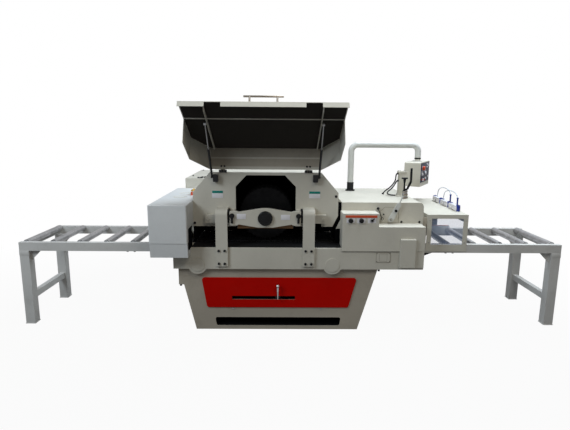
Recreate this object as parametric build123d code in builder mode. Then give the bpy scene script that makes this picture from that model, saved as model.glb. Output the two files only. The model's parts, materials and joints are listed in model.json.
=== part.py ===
"""Multi-rip saw with a crawler feed, an open hood and two roller tables.

Millimetres, +Z up, +X along the feed, +Y to the back. The origin is on the floor, under the
saw arbor, in the plane of the front plate.
"""
import os
from math import atan2, cos, degrees, hypot, pi, radians, sin

from build123d import *

os.makedirs("parts", exist_ok=True)

# Clearances
run_gap = 0.05
seat_gap = 0.3
sheet = 4.0

# Bed and crawler track
bed_left = -833.0
bed_right = 1440.0
bed_front = -150.0
bed_back = 780.0
bed_top = 800.0
beam_depth = 60.0
bed_end = 15.0
deck = 12.0
drum_left = -615.0
drum_right = 610.0
track_rise = 15.0
track_outer = 175.0
track_thick = 20.0
track_top = bed_top + track_rise
drum_height = track_top - track_outer
track_front = 60.0
track_back = 460.0
track_side_gap = 5.0
shaft_r = 25.0
bearing_r = 36.0
bearing_width = 40.0
bed_bottom = drum_height - bearing_r - 4.0
lobe_r = 88.0
lobe_depth = 38.0
cover_disc_r = 63.0
cover_disc = 6.0

# Base cabinet, its door and its slots
base_front = -110.0
base_back = 760.0
base_wall = 6.0
foot_left = -645.0
foot_right = 862.0
shoulder_gap = 1.0
shoulder_left = drum_left - track_outer - base_wall - shoulder_gap
step_run = 47.0
step_left = shoulder_left + step_run
step_clear = 28.0
step_height = drum_height - track_outer - step_clear
shoulder_right = 1036.0
door_thick = 10.0
door_top = 507.0
door_bottom = 219.0
door_top_left = -587.0
door_top_right = 845.0
door_bottom_left = -540.0
door_bottom_right = 771.0
door_corner = 25.0
slot_left = -309.0
slot_right = 275.0
slot_height = 313.0
slot_width = 36.0
chip_top = 119.0
chip_bottom = 36.0
chip_left = -468.0
chip_right = 706.0
chip_taper = 12.0
chip_corner = 18.0
lever_x = 115.0
lever_r = 8.0
lever_top = 440.0
lever_reach = 34.0
lever_ball_r = 16.0
slider_half = 25.0
slider_height = 56.0
slider_depth = 20.0
ledge = 14.0
ledge_over = 110.0

# Front plate, saw chamber and rear wall
plate_thick = 20.0
plate_half = 667.0
plate_top_half = 508.0
plate_top = 1465.0
plate_shoulder = 1281.0
plate_bottom = 965.0
plate_cut_x = 618.0
plate_cut_z = 1067.0
window_half = 275.0
window_top_half = 175.0
window_top = 1439.0
window_shoulder = 1335.0
notch_left = 455.0
notch_right = 515.0
notch_top = 1000.0
chamber_inset = 10.0
wall_front = 540.0
wall_thick = 30.0

# Arbor, blades and main drive
arbor_front = -148.0
arbor_back = 985.0
journal_r = 20.0
sleeve_r = 32.0
spindle_r = 35.0
sleeve_front = 40.0
sleeve_back = 420.0
blade_r = 250.0
blade_clear = 5.0
arbor_height = track_top + blade_clear + blade_r
blade_thick = 4.0
blade_count = 5
blade_first = 110.0
blade_pitch = 70.0
blade_teeth = 36
tooth_depth = 12.0
spacer_r = 48.0
spindle_housing_r = 90.0
spindle_front = 440.0
spindle_back = 860.0
arbor_bearing_r = 60.0
pulley_front = 900.0
pulley_width = 80.0
pulley_r = 75.0
motor_pulley_r = 95.0
motor_height = 420.0
motor_shaft_r = 24.0
belt_thick = 10.0
belt_count = 3
motor_r = 130.0
motor_length = 330.0
motor_foot = 30.0

# Outboard arm and its supports
upright_x = 390.0
upright_width = 106.0
upright_thick = 20.0
upright_bottom = 630.0
upright_rise = 76.0
upright_top = arbor_height + upright_rise
upright_bend = 50.0
bar_inner = 280.0
bar_outer = 555.0
bar_drop = 68.0
bar_bottom = arbor_height - bar_drop
bar_rise = 10.0
bar_top = arbor_height + bar_rise
bar_depth = 40.0
arm_half = 318.0
arm_thick = 35.0
arm_mid_rise = 88.0
arm_mid_top = arbor_height + arm_mid_rise
arm_mid_drop = 86.0
arm_mid_bottom = arbor_height - arm_mid_drop
arm_end_rise = 54.0
arm_end_top = arbor_height + arm_end_rise
arm_end_drop = 58.0
arm_end_bottom = arbor_height - arm_end_drop
arm_flat = 30.0
arm_low_flat = 65.0
lug_inner = 258.0
lug_slope = 22.0
lug_rise = 62.0
lug_top = arbor_height + lug_rise
lug_drop = 68.0
lug_bottom = arbor_height - lug_drop
arm_corner = 6.0
strip_half = 250.0
strip_thick = 4.0
strip_top_drop = 40.0
strip_top = arbor_height - strip_top_drop
strip_drop = 98.0
strip_bottom = arbor_height - strip_drop
arm_bearing_r = 42.0
stud_x = 296.0
stud_rise = 22.0
stud_z = arbor_height + stud_rise
stud_r = 8.0
stud_boss_r = 20.0
knob_r = 66.0
knob_thick = 24.0
clamp_r = 22.0
clamp_thick = 16.0
clamp_lever = 66.0
clamp_lever_half = 10.0

# Hood in its own frame: forward and up from the hinge axis, as when it is shut
hinge_y = -5.0
hinge_z = 1476.0
hood_open = 120.0
hood_side_gap = 11.0
hood_half = plate_half - hood_side_gap
hood_start = 16.0
hood_start_drop = 2.0
hood_fold = 213.0
hood_fold_drop = 34.0
hood_chamfer_drop = 200.0
hood_lip_drop = 784.0
hood_side_drop_back = 505.0
hood_side_drop_front = 535.0
lip_flange = 40.0
lip_notch_margin = 10.0
rib_x = 462.0
rib_thick = 6.0
rib_depth = 36.0
hinge_x = 388.0
hinge_gap_half = 20.0
hinge_ear = 15.0
hinge_pin_r = 5.0
hinge_barrel_r = 10.0
handle_half = 156.0
handle_post_x = 107.0
handle_r = 7.0
handle_stand = 60.0
handle_above_lip = 20.0

# Gas struts
strut_x = 484.0
strut_half = 10.0
strut_low_y = -22.0
strut_low_z = 1425.0
strut_high_forward = 184.0
strut_high_drop = 507.0
strut_tube_r = 10.0
strut_rod_r = 5.0
strut_tube_length = 311.0
strut_pin_r = 5.0
strut_bracket = 44.0

# Left housing and rear cabinet
lh_left = -1003.0
lh_front = -300.0
lh_back = 880.0
lh_top = 1206.0
lh_split = 870.0
lh_bottom = 740.0
lh_corner = 14.0
skirt_lean = 14.0
foot_strip = 55.0
cock_in = 68.0
cock_x = -plate_half - cock_in
cock_y = 330.0
cock_r = 12.0
cock_pin_r = 5.0
cock_height = 40.0
cock_lever_length = 110.0
cock_lever_thick = 10.0
pass_back = 700.0
pass_top = 1000.0
cabinet_left = -912.0
cabinet_right = 330.0
cabinet_elbow = -250.0
cabinet_back = 1900.0
cabinet_top = 1316.0
drive_back = 1400.0
drive_top = 1250.0
shaft_hole_r = 60.0
eyelet_r = 7.0
eyelet_in = 142.0
eyelet_pitch = 28.0
eyelet_shift = 35.0
eyelet_back = 20.0
eyelet_step = 50.0

# Right housing, control cover and bed end
rh_left = 700.0
rh_right = 1460.0
rh_back = 1040.0
rh_top = 1195.0
rh_corner = 40.0
cc_left = 690.0
cc_front = -165.0
cc_step = 1017.0
cc_top = 1121.0
cc_low_top = 1001.0
cc_apron = 27.0
cc_bottom = bed_top - cc_apron
cc_corner = 8.0
end_left = 1214.0
end_bottom = 618.0
end_set_back = 4.0
slim_right = 1352.0
slim_top = 891.0
slim_bottom = 626.0
slim_depth = 28.0
press_r = 50.0
press_axle_r = 12.0
press_clear = 40.0
press_height = track_top + press_clear + press_r
press_left_x = -826.0
press_right_x = 1080.0
press_front = 45.0
press_back = 520.0
hanger = 10.0
hanger_half = 25.0

# Levers and knobs on the right
reg_z = 1057.0
reg_first = 761.0
reg_pitch = 95.0
reg_r = 20.0
reg_thick = 22.0
reg_stem_r = 7.0
ball_lever_x = 1073.0
ball_lever_z = 1048.0
ball_tip_x = 1030.0
ball_tip_z = 1144.0
link_x = 1153.0
link_z = 1042.0
link_tip_x = 1219.0
link_tip_z = 1177.0
link_half = 26.0
link_tip_half = 19.0
link_rod_x = 1252.0
link_rod_z = 1257.0
link_rod_half = 5.0
link_knob_share = 0.61
link_knob_r = 11.0
link_knob = 16.0
link_thick = 8.0
link_stand = 22.0
lever_boss_r = 13.0
panel_left = 1056.0
panel_right = 1231.0
panel_bottom = 1008.0
panel_top = 1155.0
panel_cut = 40.0
panel_thick = 3.0
lift_x = 1363.0
lift_y = 460.0
lift_half = 37.0
lift_top = 1448.0
tee_x = 1338.0
tee_y = 258.0
tee_top = 1394.0
valve_x = 1364.0
valve_y = 285.0
valve_top = 1275.0
valve_r = 15.0
valve_pin_r = 6.0
valve_hub = 14.0
valve_bar = 18.0
valve_bend_x = 34.0
valve_bend_z = 82.0
valve_lever_top = 1489.0

# Pendant
post_x = 900.0
post_y = 840.0
post_flange_r = 50.0
post_flange = 12.0
post_sleeve_r = 36.0
post_sleeve_top = 1289.0
tube_r = 32.0
tube_inset = 20.0
tube_top = 1694.0
tube_bend = 70.0
tube_end_x = 1625.0
tube_end_z = 1562.0
box_deep = 171.0
box_wide = 400.0
box_top = 1520.0
box_bottom = 1264.0
box_turn = -30.0
box_wall = 4.0
neck_r = 30.0
button_stem_r = 8.0
button_travel = 4.0

# Outfeed guard and air units
og_left = 1500.0
og_right = 1880.0
og_front = -6.0
og_back = 1040.0
og_top = 1085.0
og_bottom = 735.0
og_frame = 42.0
og_window_bottom = 800.0
og_window_top = 1048.0
unit_x = 1846.0
unit_first = 272.0
unit_pitch = 240.0
unit_count = 3
unit_length = 205.0
unit_width = 46.0
unit_height = 62.0
cheek = 16.0
cheek_over = 6.0
loop_r = 4.0
loop_shift = 10.0
loop_post_r = 6.0
loop_post = 74.0
loop_rise = 38.0

# Roller tables
rail_top = 800.0
rail_height = 80.0
rail_depth = 50.0
table_depth = 773.0
table_left = -2297.0
table_right = 2785.0
leg = 87.0
stretcher_z = 260.0
stretcher_h = 60.0
table_gusset = 100.0
stretcher_w = 50.0
roller_r = 30.0
roller_z = 785.0
roller_axle_r = 10.0
roller_pitch = 250.0
roller_first_left = -2251.0
roller_first_right = 1720.0
roller_count = 5
roller_end_gap = 5.0


def block(x0, x1, y0, y1, z0, z1, mode=Mode.ADD):
    """A box between two corners, joined to or cut from the part at work."""
    with Locations(((x0 + x1) / 2, (y0 + y1) / 2, (z0 + z1) / 2)):
        Box(x1 - x0, y1 - y0, z1 - z0, mode=mode)


def rod_x(y, z, x0, x1, r, mode=Mode.ADD):
    """A round bar along X."""
    with Locations(Location(((x0 + x1) / 2, y, z), (0, 90, 0))):
        Cylinder(r, x1 - x0, mode=mode)


def rod_y(x, z, y0, y1, r, mode=Mode.ADD):
    """A round bar along Y."""
    with Locations(Location((x, (y0 + y1) / 2, z), (90, 0, 0))):
        Cylinder(r, y1 - y0, mode=mode)


def rod_z(x, y, z0, z1, r, mode=Mode.ADD):
    """A round bar along Z."""
    with Locations((x, y, (z0 + z1) / 2)):
        Cylinder(r, z1 - z0, mode=mode)


def prism_y(points, y0, y1, corner=0.0, mode=Mode.ADD):
    """An outline in X and Z, drawn from y0 to y1, with its corners rounded."""
    with BuildSketch(Plane.XZ.offset(-y0)) as outline:
        with BuildLine():
            Polyline(*points, close=True)
        make_face()
        if corner > 0:
            fillet(outline.vertices(), corner)
    extrude(outline.sketch, amount=y0 - y1, mode=mode)


def prism_x(points, x0, x1, mode=Mode.ADD):
    """An outline in Y and Z, drawn from x0 to x1."""
    with BuildSketch(Plane.YZ.offset(x0)) as outline:
        with BuildLine():
            Polyline(*points, close=True)
        make_face()
    extrude(outline.sketch, amount=x1 - x0, mode=mode)


def save(builder, name):
    """Label a finished piece and write its file."""
    builder.part.label = name
    export_step(builder.part, f"parts/{name}.step")


def save_group(name, *builders):
    """Write several solids that stay apart as one named piece."""
    group = Compound(label=name, children=[builder.part for builder in builders])
    export_step(group, f"parts/{name}.step")


def octagon(half, top_half, bottom, shoulder, top):
    """The plate's outline: upright sides and a top with cut corners."""
    return [(-half, bottom), (-half, shoulder), (-top_half, top),
            (top_half, top), (half, shoulder), (half, bottom)]


# Base cabinet
base_outline = [
    (foot_left, 0), (foot_right, 0), (shoulder_right, bed_bottom), (shoulder_left, bed_bottom),
    (shoulder_left, step_height), (step_left, step_height)]
chip_outline = [
    (chip_left, chip_top), (chip_right, chip_top),
    (chip_right - chip_taper, chip_bottom), (chip_left + chip_taper, chip_bottom)]
slot_low = slot_height - slot_width / 2
slot_high = slot_height + slot_width / 2
base_inner = base_front + base_wall
with BuildPart() as base_cabinet:
    prism_y(base_outline, base_front, base_back)
    with BuildSketch(Plane.XZ.offset(-base_inner)) as hollow:
        with BuildLine():
            Polyline(*base_outline, close=True)
        make_face()
        offset(amount=-base_wall, kind=Kind.INTERSECTION, mode=Mode.REPLACE)
    extrude(amount=base_inner - base_back + base_wall, mode=Mode.SUBTRACT)
    block(shoulder_left + base_wall, shoulder_right - 4 * base_wall, base_inner, base_back - base_wall,
          bed_bottom - 2 * base_wall, bed_bottom, Mode.SUBTRACT)
    prism_y(chip_outline, base_front, base_inner, chip_corner, Mode.SUBTRACT)
    block(slot_left, slot_right, base_front, base_inner, slot_low, slot_high, Mode.SUBTRACT)
    ledge_low = slot_height - slider_height / 2 - seat_gap
    ledge_high = slot_height + slider_height / 2 + seat_gap
    block(slot_left - ledge_over, slot_right + ledge_over, base_inner, base_inner + slider_depth + seat_gap,
          ledge_low - ledge, ledge_low)
    block(slot_left - ledge_over, slot_right + ledge_over, base_inner, base_inner + slider_depth + seat_gap,
          ledge_high, ledge_high + ledge)
save(base_cabinet, "base_cabinet")

# Red lift-off door with the lever's slot
door_outline = [
    (door_top_left, door_top), (door_top_right, door_top),
    (door_bottom_right, door_bottom), (door_bottom_left, door_bottom)]
with BuildPart() as base_door:
    prism_y(door_outline, base_front - door_thick, base_front, door_corner)
    block(slot_left, slot_right, base_front - door_thick, base_front, slot_low, slot_high, Mode.SUBTRACT)
    chamfer(base_door.faces().sort_by(Axis.Y)[0].outer_wire().edges(), 2)
save(base_door, "base_door")

# Slot lever: slider behind the cabinet front, bent rod and ball
lever_y = base_front - door_thick - lever_reach
with BuildPart() as slot_lever:
    block(lever_x - slider_half, lever_x + slider_half, base_inner + seat_gap, base_inner + slider_depth,
          slot_height - slider_height / 2, slot_height + slider_height / 2)
    rod_y(lever_x, slot_height, lever_y, base_inner + slider_depth / 2, lever_r)
    rod_z(lever_x, lever_y, slot_height, lever_top, lever_r)
    with Locations((lever_x, lever_y, slot_height)):
        Sphere(lever_r)
    with Locations((lever_x, lever_y, lever_top)):
        Sphere(lever_ball_r)
save(slot_lever, "slot_lever")

# Bed: beams, end walls and decks, with lobes round the drum shafts
beam_front_back = bed_front + beam_depth
beam_back_front = bed_back - beam_depth
track_inner = track_outer - track_thick
drum_ends = (drum_left, drum_right)
deck_bottom = bed_top - deck
with BuildPart() as bed_frame:
    block(bed_left, bed_right, bed_front, bed_back, bed_bottom, bed_top)
    block(bed_left + bed_end, bed_right - bed_end, beam_front_back, beam_back_front,
          bed_bottom, deck_bottom, Mode.SUBTRACT)
    block(drum_left - track_outer - track_side_gap, drum_right + track_outer + track_side_gap,
          track_front - track_side_gap, track_back + track_side_gap, deck_bottom, bed_top, Mode.SUBTRACT)
    for x in drum_ends:
        rod_y(x, drum_height, bed_front, bed_front + lobe_depth, lobe_r)
    for x in drum_ends:
        rod_y(x, drum_height, bed_front, bed_front + beam_depth, bearing_r + run_gap, Mode.SUBTRACT)
        rod_y(x, drum_height, beam_back_front, bed_back, bearing_r + run_gap, Mode.SUBTRACT)
    chamfer(bed_frame.edges().filter_by(Axis.X).group_by(Axis.Z)[-1].group_by(Axis.Y)[0], 4)

# Disc covers over the drum shafts
with BuildPart() as shaft_covers:
    for x in drum_ends:
        rod_y(x, drum_height, bed_front - cover_disc, bed_front, cover_disc_r)

# Access plate on the bed's front, near its right end
access_in = 370.0
access_drop = 86.0
access_x = bed_right - access_in
access_z = bed_top - access_drop
access_width = 130.0
access_height = 90.0
access_thick = 3.0
with BuildPart() as access_plate:
    with BuildSketch(Plane.XZ.offset(-bed_front)):
        with Locations((access_x, access_z)):
            RectangleRounded(access_width, access_height, 14)
    extrude(amount=access_thick)
    chamfer(access_plate.faces().sort_by(Axis.Y)[0].edges(), 1)
save_group("bed_frame", bed_frame, shaft_covers, access_plate)

# Crawler track: one endless loop round both drums
with BuildPart() as feed_track:
    with BuildSketch(Plane.XZ.offset(-track_front)):
        with Locations(((drum_left + drum_right) / 2, drum_height)):
            SlotCenterToCenter(drum_right - drum_left, 2 * track_outer)
            SlotCenterToCenter(drum_right - drum_left, 2 * track_inner, mode=Mode.SUBTRACT)
    extrude(amount=track_front - track_back)
save(feed_track, "feed_track")


def make_drum(x):
    """A track drum with its shaft, from bearing to bearing."""
    with BuildPart() as drum:
        rod_y(x, drum_height, track_front, track_back, track_inner - seat_gap)
        rod_y(x, drum_height, bed_front + seat_gap, bed_back - seat_gap, shaft_r)
    return drum


infeed_drum = make_drum(drum_left)
save(infeed_drum, "infeed_drum")
outfeed_drum = make_drum(drum_right)
save(outfeed_drum, "outfeed_drum")


def ring_y(x, z, y0, y1, outer, inner):
    """A bearing ring along Y."""
    with BuildSketch(Plane.XZ.offset(-y0)) as outline:
        with Locations((x, z)):
            Circle(outer)
            Circle(inner, mode=Mode.SUBTRACT)
    extrude(outline.sketch, amount=y0 - y1)


# Bearings of both drums and of the arbor
arm_front = bed_front
arm_back = arm_front + arm_thick
with BuildPart() as bearings:
    for x in drum_ends:
        ring_y(x, drum_height, bed_front, bed_front + bearing_width, bearing_r, shaft_r + run_gap)
        ring_y(x, drum_height, bed_back - bearing_width, bed_back, bearing_r, shaft_r + run_gap)
    ring_y(0, arbor_height, arm_front, arm_back, arm_bearing_r, journal_r + run_gap)
    ring_y(0, arbor_height, spindle_front, spindle_front + bearing_width, arbor_bearing_r, spindle_r + run_gap)
    ring_y(0, arbor_height, spindle_back - bearing_width, spindle_back, arbor_bearing_r, spindle_r + run_gap)

# Feed gearmotor on the back of the bed
gear_half = 70.0
gear_depth = 110.0
feed_motor_r = 62.0
feed_motor_length = 230.0
with BuildPart() as feed_gearmotor:
    block(drum_right - gear_half, drum_right + gear_half, bed_back, bed_back + gear_depth,
          drum_height - gear_half, drum_height + gear_half)
    rod_y(drum_right, drum_height, bed_back + gear_depth, bed_back + gear_depth + feed_motor_length,
          feed_motor_r)

# Front plate with its octagonal opening
plate_outline = [
    (-plate_half, plate_bottom), (-plate_half, plate_shoulder), (-plate_top_half, plate_top),
    (plate_top_half, plate_top), (plate_half, plate_shoulder), (plate_half, plate_cut_z),
    (plate_cut_x, plate_bottom)]
with BuildPart() as front_plate:
    prism_y(plate_outline, 0, plate_thick)
    prism_y(octagon(window_half, window_top_half, plate_bottom, window_shoulder, window_top),
            0, plate_thick, mode=Mode.SUBTRACT)
    block(notch_left, notch_right, 0, plate_thick, plate_bottom, notch_top, Mode.SUBTRACT)
save(front_plate, "front_plate")

# Saw chamber: a sheet tunnel from the plate to the rear wall
chamber_half = plate_half - chamber_inset
chamber_top = plate_top - chamber_inset
with BuildPart() as saw_chamber:
    prism_y(octagon(chamber_half, plate_top_half, plate_bottom, plate_shoulder, chamber_top),
            plate_thick, wall_front)
    prism_y(octagon(chamber_half - sheet, plate_top_half - sheet / 2, plate_bottom,
                    plate_shoulder - sheet / 2, chamber_top - sheet),
            plate_thick, wall_front, mode=Mode.SUBTRACT)

# Rear wall on the rear deck, with the spindle's seat
wall_back = wall_front + wall_thick
with BuildPart() as rear_wall:
    prism_y(octagon(chamber_half, plate_top_half, bed_top, plate_shoulder, chamber_top), wall_front, wall_back)
    rod_y(0, arbor_height, wall_front, wall_back, spindle_housing_r, Mode.SUBTRACT)
save_group("saw_chamber", saw_chamber, rear_wall)

# Spindle housing through the rear wall
with BuildPart() as spindle_housing:
    ring_y(0, arbor_height, spindle_front, spindle_back, spindle_housing_r - run_gap, arbor_bearing_r + run_gap)
    ring_y(0, arbor_height, wall_back, wall_back + wall_thick, spindle_housing_r + wall_thick,
           spindle_housing_r - 2 * run_gap)
save_group("bearings", bearings, spindle_housing)

# Arbor with its blade sleeve and rear pulley
with BuildPart() as arbor:
    rod_y(0, arbor_height, arbor_front, sleeve_front, journal_r)
    rod_y(0, arbor_height, sleeve_front, sleeve_back, sleeve_r)
    rod_y(0, arbor_height, sleeve_back, arbor_back, spindle_r)

with BuildPart() as arbor_pulley:
    ring_y(0, arbor_height, pulley_front, pulley_front + pulley_width, pulley_r, spindle_r + run_gap)
save_group("arbor", arbor, arbor_pulley)

# Saw blades and the spacers between them
blade_root = blade_r - tooth_depth
tooth_step = 2 * pi / blade_teeth
blade_points = []
for tooth in range(blade_teeth):
    a = tooth * tooth_step
    blade_points.append((blade_r * cos(a), blade_r * sin(a)))
    blade_points.append((blade_root * cos(a + 0.15 * tooth_step), blade_root * sin(a + 0.15 * tooth_step)))
    blade_points.append((blade_root * cos(a + 0.55 * tooth_step), blade_root * sin(a + 0.55 * tooth_step)))
with BuildPart() as saw_blades:
    for index in range(blade_count):
        blade_y = blade_first + index * blade_pitch
        with BuildSketch(Plane.XZ.offset(-blade_y)):
            with BuildLine():
                Polyline(*[(x, arbor_height + z) for x, z in blade_points], close=True)
            make_face()
            with Locations((0, arbor_height)):
                Circle(sleeve_r + run_gap, mode=Mode.SUBTRACT)
        extrude(amount=-blade_thick)

with BuildPart() as blade_spacers:
    ring_y(0, arbor_height, sleeve_front, blade_first, spacer_r, sleeve_r + run_gap)
    for index in range(blade_count):
        start = blade_first + index * blade_pitch + blade_thick
        end = min(start + blade_pitch - blade_thick, sleeve_back)
        ring_y(0, arbor_height, start, end, spacer_r, sleeve_r + run_gap)
save_group("saw_blades", saw_blades, blade_spacers)

# Main motor behind the bed, its pulley and the belts up to the arbor
motor_front = pulley_front + pulley_width + motor_foot
with BuildPart() as main_motor:
    rod_y(0, motor_height, motor_front, motor_front + motor_length, motor_r)
    block(-motor_r, motor_r, motor_front + motor_foot, motor_front + motor_length - motor_foot,
          sheet, motor_height - motor_r / 2)
    rod_y(0, motor_height, motor_front, motor_front + motor_length, motor_shaft_r + run_gap, Mode.SUBTRACT)

with BuildPart() as motor_pulley:
    rod_y(0, motor_height, pulley_front, pulley_front + pulley_width, motor_pulley_r)
    rod_y(0, motor_height, pulley_front + pulley_width, motor_front + motor_length - motor_foot, motor_shaft_r)
save(motor_pulley, "motor_pulley")

belt_pitch = pulley_width / belt_count
belt_lean = (motor_pulley_r - pulley_r) / (arbor_height - motor_height)


def belt_loop(grow):
    """The belt's outline round both pulleys, grown outwards."""
    with BuildLine() as loop:
        top = pulley_r + seat_gap + grow
        low = motor_pulley_r + seat_gap + grow
        turn = (1 - belt_lean ** 2) ** 0.5
        right_top = (top * turn, arbor_height + top * belt_lean)
        right_low = (low * turn, motor_height + low * belt_lean)
        left_top = (-right_top[0], right_top[1])
        left_low = (-right_low[0], right_low[1])
        Line(right_low, right_top)
        ThreePointArc(right_top, (0, arbor_height + top), left_top)
        Line(left_top, left_low)
        ThreePointArc(left_low, (0, motor_height - low), right_low)
    make_face(loop.edges())


with BuildPart() as drive_belts:
    for index in range(belt_count):
        belt_y = pulley_front + index * belt_pitch + belt_pitch / 4
        with BuildSketch(Plane.XZ.offset(-belt_y)):
            belt_loop(belt_thick)
        extrude(amount=-belt_pitch / 2)
        with BuildSketch(Plane.XZ.offset(-belt_y)):
            belt_loop(0)
        extrude(amount=-belt_pitch / 2, mode=Mode.SUBTRACT)
save_group("motors", main_motor, feed_gearmotor, drive_belts)

# Uprights: straps bolted to the bed, bent back over the support bars
upright_front = bed_front - upright_thick
bar_step = upright_x + upright_width / 2
with BuildPart() as uprights:
    for side in (-1, 1):
        with BuildSketch(Plane.YZ.offset(side * upright_x - upright_width / 2)) as strap:
            with BuildLine():
                Polyline((upright_front, upright_bottom), (upright_front, upright_top),
                         (0, upright_top), (0, upright_top - upright_thick),
                         (bed_front, upright_top - upright_thick), (bed_front, upright_bottom), close=True)
            make_face()
            fillet(strap.vertices().group_by(Axis.Y)[-1].sort_by(Axis.X)[0], upright_bend)
            fillet(strap.vertices().group_by(Axis.Y)[-2].sort_by(Axis.X)[0], upright_bend - upright_thick)
        extrude(amount=upright_width)

# Support bars on the plate, each with a boss and stud for the arm
with BuildPart() as support_bars:
    for side in (-1, 1):
        prism_y([(side * bar_inner, bar_bottom), (side * bar_outer, bar_bottom), (side * bar_outer, bar_top),
                 (side * bar_step, bar_top), (side * bar_step, upright_top - upright_thick),
                 (side * bar_inner, upright_top - upright_thick)], -bar_depth, 0)
        rod_y(side * stud_x, stud_z, arm_back, -bar_depth, stud_boss_r)
        rod_y(side * stud_x, stud_z, arm_front - clamp_thick, arm_back, stud_r)

bolt_r = 12.0
bolt_head = 9.0
bolt_spread = 26.0
bolt_rows = (655.0, 775.0)
with BuildPart() as arm_bolts:
    for side in (-1, 1):
        for row in bolt_rows:
            for shift in (-bolt_spread, bolt_spread):
                rod_y(side * upright_x + shift, row, upright_front - bolt_head, upright_front, bolt_r)
        rod_y(side * (bar_outer - 2 * bolt_r), (bar_bottom + bar_top) / 2,
              -bar_depth - bolt_head, -bar_depth, bolt_r)
save_group("arm_supports", uprights, support_bars, arm_bolts)

# Outboard arm, clamped on the studs
arm_outline = [
    (-arm_half, lug_bottom), (-lug_inner, lug_bottom), (-lug_inner + lug_slope, arm_end_bottom),
    (-arm_low_flat, arm_mid_bottom), (arm_low_flat, arm_mid_bottom), (lug_inner - lug_slope, arm_end_bottom),
    (lug_inner, lug_bottom), (arm_half, lug_bottom), (arm_half, lug_top), (lug_inner, lug_top),
    (lug_inner - lug_slope, arm_end_top), (arm_flat, arm_mid_top), (-arm_flat, arm_mid_top),
    (-lug_inner + lug_slope, arm_end_top), (-lug_inner, lug_top), (-arm_half, lug_top)]
with BuildPart() as outboard_arm:
    prism_y(arm_outline, arm_front, arm_back, arm_corner)
    rod_y(0, arbor_height, arm_front, arm_back, arm_bearing_r + run_gap, Mode.SUBTRACT)
    for side in (-1, 1):
        rod_y(side * stud_x, stud_z, arm_front, arm_back, stud_r + run_gap, Mode.SUBTRACT)
    chamfer(outboard_arm.faces().sort_by(Axis.Y)[0].outer_wire().edges(), 2)
with BuildPart() as backing_strip:
    block(-strip_half, strip_half, arm_back, arm_back + strip_thick, strip_bottom, strip_top)
save_group("outboard_arm", outboard_arm, backing_strip)

# Bearing knob on the arm's front
with BuildPart() as bearing_knob:
    rod_y(0, arbor_height, arm_front - seat_gap - knob_thick, arm_front - seat_gap, knob_r)
    fillet(bearing_knob.edges().filter_by(GeomType.CIRCLE).group_by(Axis.Y)[0], 0.55 * knob_thick)
    chamfer(bearing_knob.edges().filter_by(GeomType.CIRCLE).group_by(Axis.Y)[-1], 0.2 * knob_thick)
save(bearing_knob, "bearing_knob")


def make_clamp(x):
    """A clamp nut with a lever that hangs down."""
    clamp_face = arm_front - seat_gap
    with BuildPart() as clamp:
        rod_y(x, stud_z, clamp_face - clamp_thick, clamp_face, clamp_r)
        rod_y(x, stud_z, clamp_face - clamp_thick, clamp_face, stud_r + run_gap, Mode.SUBTRACT)
        block(x - clamp_lever_half, x + clamp_lever_half, clamp_face - clamp_thick + 2, clamp_face - 2,
              stud_z - clamp_lever, stud_z - clamp_r + 3)
    return clamp


clamp_knob_left = make_clamp(-stud_x)
save(clamp_knob_left, "clamp_knob_left")
clamp_knob_right = make_clamp(stud_x)
save(clamp_knob_right, "clamp_knob_right")

# Hood frame: local x is forward and local y is up when the hood is shut
hood_turn = radians(hood_open)
hood_forward = (0, -cos(hood_turn), sin(hood_turn))
hood_plane = Plane(origin=(0, hinge_y, hinge_z), x_dir=hood_forward, z_dir=(-1, 0, 0))
front_plane = Plane(origin=hood_plane.from_local_coords((hood_fold, 0, 0)),
                    x_dir=(1, 0, 0), z_dir=hood_forward)


def hood_point(forward, up):
    """A point of the hood's frame in the object's frame, in the middle plane."""
    turn = hood_turn
    return (hinge_y - forward * cos(turn) + up * sin(turn), hinge_z + forward * sin(turn) + up * cos(turn))


def hood_prism(points, x0, x1, mode=Mode.ADD):
    """An outline in the hood's forward and up, drawn from x0 to x1."""
    with BuildSketch(hood_plane.offset(-x0)) as outline:
        with BuildLine():
            Polyline(*points, close=True)
        make_face()
    extrude(outline.sketch, amount=x0 - x1, mode=mode)


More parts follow.
